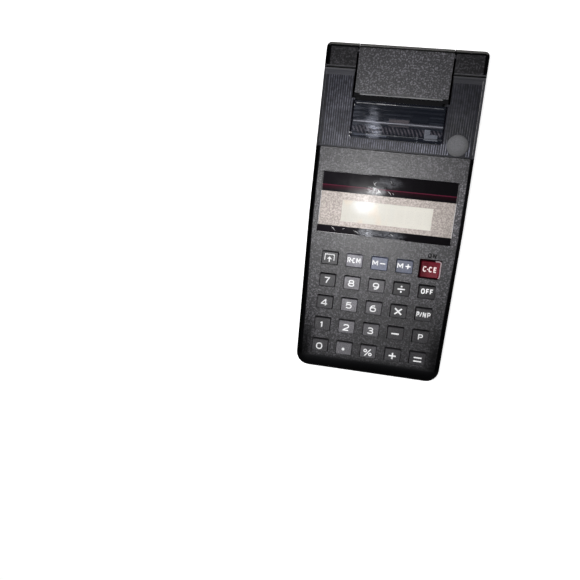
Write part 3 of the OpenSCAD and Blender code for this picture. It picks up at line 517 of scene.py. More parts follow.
M = {
    "case_grey": case_top(), "cover_grey": cover_back(), "case_black": case_dark(), "smoke": smoke(), "clear_smoke": clear_smoke(), "lens": lens(),
    "mask": mask(), "lcd": lcd(),
    "smoke_rib": smoke("smoke_rib", (0.062, 0.063, 0.080), (0.098, 0.099, 0.122), gain=True),
    "void": void_black(), "shaft": brushed("shaft_steel", (0.50, 0.46, 0.43), 0.40, (0.1, 1.0, 1.0), 0.7),
    "can": brushed("motor_can", (0.17, 0.17, 0.18), 0.42, (0.1, 1.0, 1.0), 0.7), "worm": worm(),
    "steel": brushed("steel", (0.52, 0.53, 0.55), 0.30, (0.1, 1.0, 1.0)),
    "zebra": plain("zebra", (0.30, 0.12, 0.17), (0.55, 0.33, 0.38), 0.6, 1300.0, stretch=(6.0, 0.2, 0.2)),
    "board": board(), "chip": plain("chip", (0.010, 0.010, 0.011), (0.024, 0.024, 0.026), 0.45, 1600.0),
    "mat_rubber": plain("mat_rubber", (0.17, 0.175, 0.175), (0.25, 0.255, 0.255), 0.7, 700.0, spec=0.3),
    "cell": cell(), "foot": plain("foot", (0.010, 0.010, 0.010), (0.022, 0.022, 0.022), 0.75, 1500.0, spec=0.25, grain=0.4),
    "printer_black": plain("printer_black", (0.009, 0.009, 0.010), (0.020, 0.020, 0.022), 0.42, 1500.0),
    "gear_white": plain("gear_white", (0.50, 0.48, 0.42), (0.62, 0.60, 0.53), 0.42, 800.0),
    "brass": brushed("brass", (0.55, 0.38, 0.14), 0.28, (0.1, 1.0, 1.0)),
    "carriage": carriage_plastic(),
    "tab_grey": plain("tab_grey", (0.58, 0.55, 0.52), (0.78, 0.745, 0.71), 0.45, 1100.0),
    "ink": plain("ink", (0.010, 0.006, 0.020), (0.030, 0.016, 0.060), 0.8, 1400.0, spec=0.2, grain=0.5),
    "roller_rubber": plain("roller_rubber", (0.012, 0.012, 0.012), (0.028, 0.028, 0.028), 0.65, 1500.0, spec=0.3),
    "paper": paper(),
    "key_grey": key_plastic("key_grey", (0.028, 0.027, 0.030), (0.058, 0.056, 0.061), wear_and_sheen=True),
    "key_violet": key_plastic("key_violet", (0.152, 0.148, 0.172), (0.240, 0.233, 0.268)),
    "key_blue": key_plastic("key_blue", (0.064, 0.072, 0.106), (0.102, 0.112, 0.156)),
    "key_red": key_plastic("key_red", (0.076, 0.0036, 0.0095), (0.135, 0.0066, 0.0165), 0.36, 0.09),
}


def teeth():
    """Thin steel strip, painted dark as shade except along its cutting edge."""
    s = Shade("tear_steel")
    y = s.axis(1)
    lines = s.noise(900.0, 3.0, 0.7, stretch=(0.1, 1.0, 1.0))
    edge = s.span(y, 0.06332, 0.06342)
    s.set(base=s.scale(s.mix(edge, (0.010, 0.010, 0.011), (0.125, 0.125, 0.13)), s.span(lines, 0.3, 0.7, 0.8, 1.2)))
    s.set(rough=0.5, metal=0.75, normal=s.bump(lines, 0.15, 0.00005))
    return s


M["teeth"] = teeth()
legend_white = plain("legend_white", (0.74, 0.74, 0.75), (0.86, 0.86, 0.87), 0.45, 2600.0, grain=0.1)
legend_dark = plain("legend_dark", (0.0045, 0.0045, 0.005), (0.011, 0.011, 0.012), 0.5, 2600.0, grain=0.1)
# painted highlight: pale pink line on the red key's right and top edges
edge_highlight_pink = plain("key_clear_edge_highlight", (0.23, 0.15, 0.165), (0.37, 0.28, 0.30), 0.4, 1800.0)
legend_red_key = plain("legend_red_key", (0.78, 0.60, 0.60), (0.90, 0.76, 0.76), 0.45, 2600.0, grain=0.1)
# painted highlight: pale lines along the lens edges, bright and dim
rim_highlight_pale = plain("lens_rim_highlight_pale", (0.34, 0.33, 0.34), (0.62, 0.61, 0.62), 0.4, 1800.0)
rim_highlight_dim = plain("lens_rim_highlight_dim", (0.075, 0.073, 0.078), (0.16, 0.155, 0.165), 0.4, 1800.0)
# white for lens scratches, and for painted glints of the flash
scuff_and_glint_white = plain("scuff", (0.60, 0.60, 0.61), (0.80, 0.80, 0.80), 0.6, 2600.0)


# ---------------------------------------------------------------- carried-over nodes
def soft_shade():
    """Rounds the shading over shallow edges and keeps real corners sharp."""
    g = bpy.data.node_groups.new("soft_shade", "GeometryNodeTree")
    g.interface.new_socket(name="Geometry", in_out="INPUT", socket_type="NodeSocketGeometry")
    g.interface.new_socket(name="Geometry", in_out="OUTPUT", socket_type="NodeSocketGeometry")
    n = g.nodes
    a, z = n.new("NodeGroupInput"), n.new("NodeGroupOutput")
    drop = n.new("GeometryNodeRemoveAttribute")
    drop.inputs["Name"].default_value = "custom_normal"
    face = n.new("GeometryNodeSetShadeSmooth")
    face.domain = "FACE"
    edge = n.new("GeometryNodeSetShadeSmooth")
    edge.domain = "EDGE"
    edge.inputs["Shade Smooth"].default_value = False
    angle = n.new("GeometryNodeInputMeshEdgeAngle")
    over = n.new("ShaderNodeMath")
    over.operation = "GREATER_THAN"
    over.inputs[1].default_value = math.radians(42)
    g.links.new(angle.outputs[0], over.inputs[0])
    g.links.new(over.outputs[0], edge.inputs["Selection"])
    g.links.new(a.outputs[0], drop.inputs[0])
    g.links.new(drop.outputs[0], face.inputs[0])
    g.links.new(face.outputs[0], edge.inputs[0])
    g.links.new(edge.outputs[0], z.inputs[0])
    return g


SOFT = soft_shade()


def finish_node(name, edge=0.12, seg=2, limit=50):
    o = CAD[name]
    w = o.modifiers.new("weld", "WELD")
    w.merge_threshold = 2e-6
    d = o.modifiers.new("flat", "DECIMATE")
    d.decimate_type = "DISSOLVE"
    d.angle_limit = math.radians(0.6)
    if edge:
        b = o.modifiers.new("edge", "BEVEL")
        b.limit_method = "ANGLE"
        b.angle_limit = math.radians(limit)
        b.width = edge * MM
        b.segments = seg
        b.use_clamp_overlap = True
        b.miter_outer = "MITER_SHARP"
    s = o.modifiers.new("shade", "NODES")
    s.node_group = SOFT
    n = o.modifiers.new("flat_faces", "WEIGHTED_NORMAL")
    n.weight = 60
    n.keep_sharp = True


def paint(name, material):
    o = CAD[name]
    for s in o.material_slots:
        s.link = "OBJECT"
        s.material = material.m


slot_of = {}
for part in frame["record"]["subparts"]:
    slot_of[part["node"]] = part["material_slot"]
EDGES = {"top_case": 0.06, "bottom_case": 0.2, "battery_door": 0.15, "paper_cover": 0.25, "printer_cover": 0.18,
         "printer_window": 0.12, "display_lens": 0.14, "lcd_panel": 0.1, "display_mask": 0, "tear_bar": 0.06,
         "drive_screw": 0, "battery_springs": 0, "idler_gear": 0.04, "screw_gear": 0.04, "motor_pinion": 0.03,
         "feed_roller": 0.05, "type_wheel": 0.05, "paper_roll": 0.15, "ink_roller": 0.15, "batteries": 0.35,
         "case_screws": 0.08, "adaptor_jack": 0.15, "rubber_feet": 0.15, "main_board": 0.06, "board_components": 0.1,
         "key_mat": 0.15, "battery_plates": 0.05, "ink_roller_holder": 0.1, "print_carriage": 0.12}
OWN = {"paper_cover": "cover_grey", "tear_bar": "teeth", "guide_shaft": "shaft", "printer_motor": "can", "drive_screw": "worm"}
for name in CAD:
    finish_node(name, EDGES.get(name, 0.1))
    paint(name, M[OWN.get(name, slot_of[name])])


# ---------------------------------------------------------------- mesh helpers (millimetres in, metres out)
def solid(name, parts, material, body, smooth=42):
    """One object from a list of (points, faces) solids."""
    verts, faces = [], []
    for p, f in parts:
        k = len(verts)
        verts += [(x * MM, y * MM, z * MM) for x, y, z in p]
        faces += [[i + k for i in face] for face in f]
    me = bpy.data.meshes.new(name)
    me.from_pydata(verts, [], faces)
    me.validate()
    bm = bmesh.new()
    bm.from_mesh(me)
    bmesh.ops.recalc_face_normals(bm, faces=bm.faces)
    bm.to_mesh(me)
    bm.free()
    for p in me.polygons:
        p.use_smooth = True
    me.set_sharp_from_angle(angle=math.radians(smooth))
    o = bpy.data.objects.new(name, me)
    bpy.context.scene.collection.objects.link(o)
    me.materials.append(material.m if isinstance(material, Shade) else material)
    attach(o, body)
    return o


def prism(loop, z0, z1):
    n = len(loop)
    pts = [(x, y, z0) for x, y in loop] + [(x, y, z1) for x, y in loop]
    return pts, [list(range(n))[::-1], list(range(n, 2 * n))] + [[k, (k + 1) % n, n + (k + 1) % n, n + k] for k in range(n)]


def moved(part, dx, dy):
    return [(x + dx, y + dy, z) for x, y, z in part[0]], part[1]


def rect(x0, y0, x1, y1):
    return [(x0, y0), (x1, y0), (x1, y1), (x0, y1)]


def round_rect(w, d, r, seg=5):
    pts = []
    for cx, cy, a0 in ((w - r, d - r, 0), (r - w, d - r, 90), (r - w, r - d, 180), (w - r, r - d, 270)):
        for k in range(seg + 1):
            a = math.radians(a0 + 90 * k / seg)
            pts.append((cx + r * math.cos(a), cy + r * math.sin(a)))
    return pts


def disc(cx, cy, r, n=28):
    return [(cx + r * math.cos(2 * math.pi * k / n), cy + r * math.sin(2 * math.pi * k / n)) for k in range(n)]


def annulus(cx, cy, r0, r1, z0, z1, n=28):
    pts = []
    for r, z in ((r0, z0), (r1, z0), (r1, z1), (r0, z1)):
        pts += [(x, y, z) for x, y in disc(cx, cy, r, n)]
    faces = []
    for j in range(4):
        for k in range(n):
            a, b = j * n + k, j * n + (k + 1) % n
            c, d = ((j + 1) % 4) * n + (k + 1) % n, ((j + 1) % 4) * n + k
            faces.append([a, b, c, d])
    return pts, faces


def cross(w, h, t):
    """A plus sign of width w, height h and stroke t."""
    a, b, c = w / 2, h / 2, t / 2
    return [(-a, -c), (-c, -c), (-c, -b), (c, -b), (c, -c), (a, -c), (a, c), (c, c), (c, b), (-c, b), (-c, c), (-a, c)]


def turned(loop, deg, sx=1.0, sy=1.0):
    c, s = math.cos(math.radians(deg)), math.sin(math.radians(deg))
    return [((x * c - y * s) * sx, (x * s + y * c) * sy) for x, y in loop]


def ribbon(line, t):
    """Outline of a stroke of width t along an open line, with mitred corners."""
    left, right = [], []
    for k, (x, y) in enumerate(line):
        dirs = []
        if k:
            dirs.append((x - line[k - 1][0], y - line[k - 1][1]))
        if k < len(line) - 1:
            dirs.append((line[k + 1][0] - x, line[k + 1][1] - y))
        dirs = [(a / math.hypot(a, b), b / math.hypot(a, b)) for a, b in dirs]
        nx, ny = -sum(d[1] for d in dirs), sum(d[0] for d in dirs)
        size = math.hypot(nx, ny)
        nx, ny = nx / size, ny / size
        m = t / 2 / max(0.35, abs(nx * -dirs[0][1] + ny * dirs[0][0]))
        left.append((x + nx * m, y + ny * m))
        right.append((x - nx * m, y - ny * m))
    return left + right[::-1]


def loft(levels, seg=5):
    """A closed form through rounded rectangles: (z, half width, half depth, corner radius)."""
    rings = [[(x, y, z) for x, y in round_rect(w, d, r, seg)] for z, w, d, r in levels]
    n = len(rings[0])
    pts = [p for ring in rings for p in ring]
    faces = [list(range(n))[::-1], list(range((len(rings) - 1) * n, len(rings) * n))]
    for j in range(len(rings) - 1):
        for k in range(n):
            faces.append([j * n + k, j * n + (k + 1) % n, (j + 1) * n + (k + 1) % n, (j + 1) * n + k])
    return pts, faces


def stroke(line, t, z0, z1, closed=False):
    """A raised line of width t along the given points, as a closed solid."""
    n = len(line)
    pts = []
    for k, (x, y) in enumerate(line):
        dirs = []
        if k or closed:
            q = line[k - 1]
            dirs.append((x - q[0], y - q[1]))
        if k < n - 1 or closed:
            q = line[(k + 1) % n]
            dirs.append((q[0] - x, q[1] - y))
        dirs = [(a / math.hypot(a, b), b / math.hypot(a, b)) for a, b in dirs]
        nx, ny = -sum(d[1] for d in dirs), sum(d[0] for d in dirs)
        size = math.hypot(nx, ny)
        nx, ny = nx / size, ny / size
        m = t / 2 / max(0.45, abs(nx * -dirs[0][1] + ny * dirs[0][0]))
        pts += [(x + nx * m, y + ny * m, z0), (x - nx * m, y - ny * m, z0), (x - nx * m, y - ny * m, z1), (x + nx * m, y + ny * m, z1)]
    faces = []
    for k in range(n if closed else n - 1):
        a, b = 4 * k, 4 * ((k + 1) % n)
        faces += [[a + j, a + (j + 1) % 4, b + (j + 1) % 4, b + j] for j in range(4)]
    if not closed:
        faces += [[0, 1, 2, 3], [4 * n - 1, 4 * n - 2, 4 * n - 3, 4 * n - 4]]
    return pts, faces


def bow(cx, cy, rx, ry, a0, a1, n=14, p=2.5):
    """Part of a squarish round, from angle a0 to a1."""
    out = []
    for k in range(n + 1):
        a = math.radians(a0 + (a1 - a0) * k / n)
        c, d = math.cos(a), math.sin(a)
        out.append((cx + rx * math.copysign(abs(c) ** (2 / p), c), cy + ry * math.copysign(abs(d) ** (2 / p), d)))
    return out


def loop(cx, cy, rx, ry):
    return bow(cx, cy, rx, ry, 0, 360 - 360 / 28, 27)


# characters as lines in a unit square; True marks a closed line
GLYPHS = {
    "0": [(loop(0.5, 0.5, 0.5, 0.5), True)],
    "1": [([(0.62, 0.0), (0.62, 1.0)], False), ([(0.62, 0.97), (0.38, 0.80), (0.0, 0.74)], False)],
    "2": [(bow(0.5, 0.70, 0.48, 0.30, 168, -28) + [(0.60, 0.38), (0.22, 0.20), (0.02, 0.0), (1.0, 0.0)], False)],
    "3": [(bow(0.5, 0.755, 0.44, 0.245, 160, -84, p=2.2) + [(0.36, 0.512)], False),
          (bow(0.5, 0.262, 0.5, 0.262, 84, -158, p=2.3), False)],
    "4": [([(0.72, 0.0), (0.72, 1.0), (0.64, 1.0), (0.0, 0.31), (0.0, 0.26), (1.0, 0.26)], False)],
    "5": [([(0.93, 1.0), (0.14, 1.0), (0.07, 0.52)] + bow(0.5, 0.33, 0.5, 0.33, 128, -152, p=2.3), False)],
    "6": [(loop(0.5, 0.32, 0.5, 0.32), True), ([(0.0, 0.34), (0.02, 0.58), (0.16, 0.84), (0.42, 0.98), (0.84, 1.0)], False)],
    "7": [([(0.0, 1.0), (1.0, 1.0), (0.97, 0.90), (0.62, 0.52), (0.46, 0.22), (0.42, 0.0)], False)],
    "8": [(loop(0.5, 0.75, 0.43, 0.25), True), (loop(0.5, 0.26, 0.5, 0.26), True)],
    "9": [(loop(0.5, 0.68, 0.5, 0.32), True), ([(1.0, 0.66), (0.98, 0.42), (0.84, 0.16), (0.58, 0.02), (0.16, 0.0)], False)],
    "C": [(bow(0.5, 0.5, 0.5, 0.5, 38, 322, 22, 2.7), False)],
    "E": [([(1.0, 1.0), (0.0, 1.0), (0.0, 0.0), (1.0, 0.0)], False), ([(0.0, 0.5), (0.88, 0.5)], False)],
    "F": [([(1.0, 1.0), (0.0, 1.0), (0.0, 0.0)], False), ([(0.0, 0.5), (0.86, 0.5)], False)],
    "M": [([(0.0, 0.0), (0.0, 1.0), (0.10, 1.0), (0.5, 0.34), (0.90, 1.0), (1.0, 1.0), (1.0, 0.0)], False)],
    "N": [([(0.0, 0.0), (0.0, 1.0), (0.10, 1.0), (0.90, 0.0), (1.0, 0.0), (1.0, 1.0)], False)],
    "O": [(loop(0.5, 0.5, 0.5, 0.5), True)],
    "P": [([(0.0, 0.0), (0.0, 1.0), (0.60, 1.0)] + bow(0.55, 0.72, 0.45, 0.28, 80, -80, 8) + [(0.60, 0.44), (0.0, 0.44)], False)],
    "R": [([(0.0, 0.0), (0.0, 1.0), (0.60, 1.0)] + bow(0.55, 0.74, 0.45, 0.26, 80, -80, 8) + [(0.60, 0.48), (0.0, 0.48)], False),
          ([(0.55, 0.48), (1.0, 0.0)], False)],
    "/": [([(0.0, 0.0), (1.0, 1.0)], False)],
}


# ---------------------------------------------------------------- keys
PITCH_X, PITCH_Y, ROW_MID = 13.6, 12.45, -49.7
FACE, TOP = 34.66, 34.688
Z2 = (FACE - 0.02, TOP)


def write(ch, w, h, t, dx=0.0, dy=0.0, z=Z2):
    """One printed character in a box of w by h about (dx, dy)."""
    out = []
    for k, (line, closed) in enumerate(GLYPHS[ch]):
        line = [((x - 0.5) * (w - t) + dx, (y - 0.5) * (h - t) + dy) for x, y in line]
        out.append(stroke(line, t, z[0], z[1] - 0.002 * k, closed))
    return out


def bar(w, h, dx=0.0, dy=0.0, z=Z2):
    return prism(rect(dx - w / 2, dy - h / 2, dx + w / 2, dy + h / 2), *z)


def dot(r, dx=0.0, dy=0.0, z=Z2):
    return prism(disc(dx, dy, r), *z)


def feed_mark():
    zig = [(-2.6 + 0.52 * k, 2.2 if k % 2 == 0 else 1.6) for k in range(11)]
    return [stroke(zig, 0.34, *Z2), bar(0.4, 3.2, -2.55, 0.1, (Z2[0], Z2[1] - 0.002)), bar(0.4, 3.2, 2.55, 0.1, (Z2[0], Z2[1] - 0.002)),
            bar(0.6, 2.3, 0, -1.15), prism([(-1.35, -0.7), (1.35, -0.7), (0, 0.7)], Z2[0], Z2[1] - 0.002)]


def percent():
    return [annulus(-1.42, 0.95, 0.42, 1.02, *Z2), annulus(1.42, -0.95, 0.42, 1.02, *Z2),
            prism(turned(rect(-0.29, -2.5, 0.29, 2.5), -38), Z2[0], Z2[1] - 0.002)]


def plus(w, h, t, dx=0.0, dy=0.0):
    return moved(prism(cross(w, h, t), *Z2), dx, dy)


def word(letters, h, t, z=Z2):
    out = []
    for ch, dx, w in letters:
        out += [dot(w, dx, 0.0, z)] if ch == "." else write(ch, w, h, t, dx, 0.0, z)
    return out


D = (3.45, 3.75, 0.64)
KEYS = {
    "key_feed": (-2, 2, "key_grey", feed_mark(), (-0.15, 0.2)),
    "key_recall": (-1, 2, "key_violet", word((("R", -2.72, 1.95), (".", -1.35, 0.3), ("C", -0.12, 1.7), ("M", 2.35, 2.4)), 3.0, 0.56), (-0.2, 0.2)),
    "key_memory_minus": (0, 2, "key_blue", write("M", 3.1, 2.9, 0.6, -2.15) + [bar(2.9, 0.62, 1.95, 0.1)], (-0.1, 0.2)),
    "key_memory_plus": (1, 2, "key_blue", write("M", 3.2, 2.9, 0.6, -2.2) + [plus(2.8, 2.6, 0.64, 2.0, 0.1)], (-0.15, 0.25)),
    "key_7": (-2, 1, "key_grey", write("7", 3.2, 3.7, 0.66), (-0.2, 0.05)),
    "key_8": (-1, 1, "key_grey", write("8", *D), (-0.2, -0.05)),
    "key_9": (0, 1, "key_grey", write("9", *D), (-0.25, 0.0)),
    "key_divide": (1, 1, "key_grey", [bar(4.0, 0.72), dot(0.5, 0, 1.45), dot(0.5, 0, -1.45)], (-0.1, 0.1)),
    "key_off": (2, 1, "key_grey", word((("O", -2.2, 2.15), ("F", 0.3, 1.75), ("F", 2.42, 1.75)), 2.95, 0.58), (0.1, 0.55)),
    "key_4": (-2, 0, "key_grey", write("4", 3.8, 3.8, 0.60), (-0.2, -0.1)),
    "key_5": (-1, 0, "key_grey", write("5", *D), (-0.15, -0.05)),
    "key_6": (0, 0, "key_grey", write("6", *D), (-0.3, -0.1)),
    "key_multiply": (1, 0, "key_grey", [prism(turned(cross(4.6, 4.6, 0.76), 45, 1.14, 1.02), *Z2)], (-0.12, 0.1)),
    "key_print_mode": (2, 0, "key_grey", word((("P", -3.05, 1.6), ("/", -1.45, 1.3), ("N", 0.45, 1.75), ("P", 2.85, 1.7)), 2.9, 0.5), (0.0, 0.05)),
    "key_1": (-2, -1, "key_grey", write("1", 2.0, 3.7, 0.68), (-0.35, -0.2)),
    "key_2": (-1, -1, "key_grey", write("2", *D), (-0.15, -0.25)),
    "key_3": (0, -1, "key_grey", write("3", *D), (-0.25, -0.25)),
    "key_minus": (1, -1, "key_grey", [bar(4.1, 0.78)], (-0.1, -0.1)),
    "key_print": (2, -1, "key_grey", write("P", 2.6, 3.3, 0.60), (0.05, -0.05)),
    "key_0": (-2, -2, "key_grey", write("0", 3.6, 3.75, 0.66), (-0.3, -0.35)),
    "key_point": (-1, -2, "key_grey", [dot(0.82)], (-0.35, -0.35)),
    "key_percent": (0, -2, "key_grey", percent(), (-0.15, -0.35)),
    "key_plus": (1, -2, "key_grey", [plus(4.0, 3.5, 0.76)], (-0.05, -0.3)),
    "key_equals": (2, -2, "key_grey", [bar(4.3, 0.7, 0, 1.0), bar(4.3, 0.7, 0, -1.0)], (0.2, -0.4)),
}
CAP = [(25.0, 2.0, 2.0, 1.99), (29.2, 2.0, 2.0, 1.99), (29.2, 5.15, 4.3, 0.95), (29.25, 5.2, 4.35, 1.0), (30.35, 5.2, 4.35, 1.0),
       (30.4, 5.15, 4.3, 0.95), (30.4, 4.5, 3.65, 0.6), (33.0, 4.46, 3.6, 0.6), (34.1, 4.36, 3.46, 0.6), (34.4, 4.30, 3.39, 0.6),
       (34.56, 4.20, 3.29, 0.57), (34.664, 4.06, 3.15, 0.53), (34.668, 3.72, 2.82, 0.42)]
for name, (c, r, tone, marks, (dx, dy)) in KEYS.items():
    x, y = c * PITCH_X, ROW_MID + r * PITCH_Y
    cap = solid(name + "_cap", [moved(loft(CAP), x, y)], M[tone], name, smooth=28)
    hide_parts(name)
    solid(name + "_legend", [moved(m, x + dx, y + dy) for m in marks], legend_white, name)

RED = [(25.0, 2.0, 2.0, 1.99), (29.2, 2.0, 2.0, 1.99), (29.2, 6.35, 5.55, 0.95), (29.25, 6.4, 5.6, 1.0), (30.35, 6.4, 5.6, 1.0),
       (30.4, 6.35, 5.55, 0.95), (30.4, 5.8, 5.1, 0.7), (33.3, 5.78, 5.08, 0.7), (33.6, 5.68, 4.98, 0.72), (34.75, 4.92, 4.42, 0.8),
       (35.03, 4.66, 4.2, 0.8), (35.15, 4.44, 4.02, 0.75), (35.19, 4.2, 3.82, 0.7), (35.14, 3.95, 3.6, 0.6)]
x, y = 2 * PITCH_X, ROW_MID + 2 * PITCH_Y
cap = solid("key_clear_cap", [moved(loft(RED), x, y)], M["key_red"], "key_clear", smooth=50)
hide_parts("key_clear")
Z3 = (35.12, 35.178)
mark = word((("C", -2.78, 2.0), (".", -1.22, 0.30), ("C", 0.28, 1.95), ("E", 2.75, 1.75)), 3.0, 0.60, Z3)
solid("key_clear_legend", [moved(m, x - 0.1, y + 0.25) for m in mark], legend_red_key, "key_clear")
# painted highlight: a pale line along the red key's right and top edges
highlight_run = [(4.6, -4.25), (5.1, -4.05), (5.32, -3.5), (5.36, 3.7), (5.15, 4.42), (4.5, 4.72), (2.4, 4.76)]
solid("key_clear_edge_highlight", [stroke([(x + a, y + b) for a, b in highlight_run], 0.60, 34.0, 34.82)], edge_highlight_pink, "key_clear")
solid("on_legend", [moved(m, 27.5, -17.35) for m in word((("O", -1.25, 2.05), ("N", 1.32, 1.9)), 2.6, 0.54, (32.97, 33.02))], M["void"], "case")


def surround(cx, cy, w, d):
    """Lip inside a key opening: close to the key in front and at the sides, wider behind."""
    outer = round_rect(w + 0.55, d + 0.55, 0.9)
    inner = [(x, y + 0.12) for x, y in round_rect(w + 0.13, d + 0.25, 0.62)]
    n = len(outer)
    pts = []
    for ring, z in ((outer, 31.2), (inner, 31.2), (inner, 32.94), ([(x * 1.008, y * 1.008) for x, y in inner], 32.985), (outer, 32.985)):
        pts += [(cx + x, cy + y, z) for x, y in ring]
    faces = []
    for j in range(5):
        for k in range(n):
            a, b = j * n, (j + 1) % 5 * n
            faces.append([a + k, a + (k + 1) % n, b + (k + 1) % n, b + k])
    return pts, faces


lips = [surround(c * PITCH_X, ROW_MID + r * PITCH_Y, *((5.8, 5.1) if (c, r) == (2, 2) else (4.5, 3.65))) for c in range(-2, 3) for r in range(-2, 3)]
solid("key_surrounds", lips, M["case_grey"], "case", smooth=30)
# painted shade: a black plate under the tear bar where only shade is seen
solid("paper_shade_plate", [prism(rect(-22.5, 61.2, 22.5, 65.4), 23.5, 24.0), prism(rect(-25.3, 63.3, 25.3, 65.3), 23.4, 23.9)],
      M["void"], "case")
# painted shade: black fillers in the rear rim joints, where shade falls
solid("rear_joint_fill", [prism(rect(side - 0.16, 86.6, side + 0.16, end), 26.0, high) for side in (-24.88, 24.88) for end, high in ((88.55, 32.45), (88.8, 32.1), (88.95, 31.6))],
      M["void"], "case")
# painted shade: a black strip under the window's front edge
solid("window_front_shade", [prism(rect(-23.6, 41.5, 23.6, 42.55), 31.42, 31.48)], M["void"], "printer_cover")


# ---------------------------------------------------------------- ribs and marks of the smoked cover
def rib(x, y0, y1, half=0.30, top=0.15, rise=0.13, z=33.0):
    pts = []
    for y, k in ((y0, 0.0), (y0 + 0.35, 1.0), (y1 - 0.35, 1.0), (y1, 0.0)):
        pts += [(x - half, y, z - 0.04), (x + half, y, z - 0.04), (x + half, y, z), (x + top, y, z + rise * k + 0.004), (x - top, y, z + rise * k + 0.004), (x - half, y, z)]
    faces = [[0, 1, 2, 3, 4, 5], [23, 22, 21, 20, 19, 18]]
    for j in range(3):
        for k in range(6):
            faces.append([j * 6 + k, j * 6 + (k + 1) % 6, (j + 1) * 6 + (k + 1) % 6, (j + 1) * 6 + k])
    return pts, faces


THUMB = (32.2, 41.2, 5.7)
ribs = []
for k in range(-32, 33):
    x = 1.2 * k
    if abs(x) < 24.0:
        ribs.append(rib(x, 35.9, 40.5))
    elif abs(x) < 26.2:
        ribs.append(rib(x, 35.9, 60.9))
    elif abs(x - THUMB[0]) < THUMB[2] - 0.1:
        h = math.sqrt(THUMB[2] ** 2 - (x - THUMB[0]) ** 2)
        if THUMB[1] - h > 37.2:
            ribs.append(rib(x, 35.9, THUMB[1] - h))
        ribs.append(rib(x, THUMB[1] + h, 72.3))
    else:
        ribs.append(rib(x, 35.9, 72.3))
solid("cover_ribs", ribs, M["smoke_rib"], "printer_cover")


def button(cx, cy, r, z, rise, n=48):
    pts, faces = [], []
    rings = [(r, z - 0.04), (r, z + 0.03), (r - 0.12, z + rise), (r - 0.5, z + rise + 0.01), (r * 0.6, z + rise - 0.02), (r * 0.25, z + rise - 0.03)]
    for q, h in rings:
        pts += [(a, b, h) for a, b in disc(cx, cy, q, n)]
    for j in range(len(rings) - 1):
        for k in range(n):
            faces.append([j * n + k, j * n + (k + 1) % n, (j + 1) * n + (k + 1) % n, (j + 1) * n + k])
    faces += [list(range(n))[::-1], list(range(5 * n, 6 * n))]
    return pts, faces


frost = Shade("thumb_frost")
fine = frost.noise(1700.0, 3.0, 0.6)
fade = frost.math("ADD", 0.30, frost.math("MULTIPLY", spot(frost, 0.0314, 0.0418, 0.0072, 0.0072, 0.30), 0.86))
frost.set(base=frost.scale(frost.mix(frost.span(fine, 0.35, 0.68), (0.046, 0.046, 0.053), (0.078, 0.078, 0.087)), fade),
          rough=frost.span(fine, 0.25, 0.75, 0.46, 0.56), normal=frost.bump(fine, 0.5, 0.0001))
solid("cover_thumb_mark", [button(*THUMB, 33.0, 0.13)], frost, "printer_cover", smooth=60)


def bead(x0, x1, y, z, r, n=12):
    pts, faces = [], []
    for x in (x0, x1):
        pts += [(x, y + r * math.cos(2 * math.pi * k / n), z + r * math.sin(2 * math.pi * k / n)) for k in range(n)]
    faces = [list(range(n)), list(range(n, 2 * n))[::-1]] + [[k, (k + 1) % n, n + (k + 1) % n, n + k] for k in range(n)]
    return pts, faces


def edge_line(x, y0, y1, z, r, n=10):
    pts = []
    for y in (y0, y1):
        pts += [(x + r * math.cos(2 * math.pi * k / n), y, z + r * math.sin(2 * math.pi * k / n)) for k in range(n)]
    return pts, [list(range(n)), list(range(n, 2 * n))[::-1]] + [[k, (k + 1) % n, n + (k + 1) % n, n + k] for k in range(n)]


# painted highlight: pale lines along the cover's sides, brighter on the right
edge_highlight_pale = plain("cover_edge_highlight", (0.085, 0.082, 0.085), (0.17, 0.165, 0.17), 0.3, 900.0)
edge_highlight_dim = plain("cover_edge_highlight_dim", (0.050, 0.050, 0.055), (0.10, 0.10, 0.108), 0.35, 900.0)
solid("cover_edge_highlight_right", [edge_line(40.28, 37.0, 74.2, 32.84, 0.15)], edge_highlight_pale, "printer_cover", smooth=80)
solid("cover_edge_highlight_left", [edge_line(-40.28, 37.0, 74.2, 32.84, 0.13)], edge_highlight_dim, "printer_cover", smooth=80)
# painted highlight: pale beads along the window's front and rear edges
bead_highlight = plain("window_bead_highlight", (0.035, 0.036, 0.040), (0.11, 0.115, 0.125), 0.2, 700.0, grain=0.1, stretch=(0.2, 1.0, 1.0))
solid("window_bead_highlights", [bead(-16.4, 23.4, 43.3, 32.68, 0.14), bead(-23.4, -16.5, 43.3, 32.66, 0.06),bead(-22.9, 22.9, 58.9, 32.72, 0.16)], bead_highlight, "printer_cover", smooth=80)
glint = plain("window_glint", (0.10, 0.10, 0.105), (0.50, 0.50, 0.52), 0.3, 500.0, grain=0.1, stretch=(0.5, 0.2, 0.2))
solid("window_glint", [bead(-22.3, -11.0, 58.95, 32.72, 0.19), bead(-11.1, -2.0, 58.95, 32.72, 0.17)], glint, "printer_cover", smooth=80)
# painted highlight: pale dots at the window frame's corners stand for glints
corner_glints = plain("window_corner_glint", (0.28, 0.28, 0.285), (0.50, 0.50, 0.51), 0.4, 1500.0)
solid("window_corner_glints", [prism(disc(-24.1, 43.3, 0.55, 16), 32.96, 33.03), prism(disc(-23.8, 57.6, 0.38, 16), 32.96, 33.03), prism(disc(23.9, 43.0, 0.36, 16), 32.96, 33.03),
                       prism(disc(-24.4, 41.6, 0.4, 16), 32.96, 33.03)], corner_glints, "printer_cover")


# ---------------------------------------------------------------- wear and painted glints on the lens
def chip(cx, cy, r, seed):
    return [(cx + r * (1 + 0.32 * math.sin(3 * a + seed) + 0.16 * math.sin(5 * a + 2 * seed)) * math.cos(a),
             cy + r * (1 + 0.32 * math.sin(3 * a + seed) + 0.16 * math.sin(5 * a + 2 * seed)) * math.sin(a))
            for a in [2 * math.pi * k / 22 for k in range(22)]]


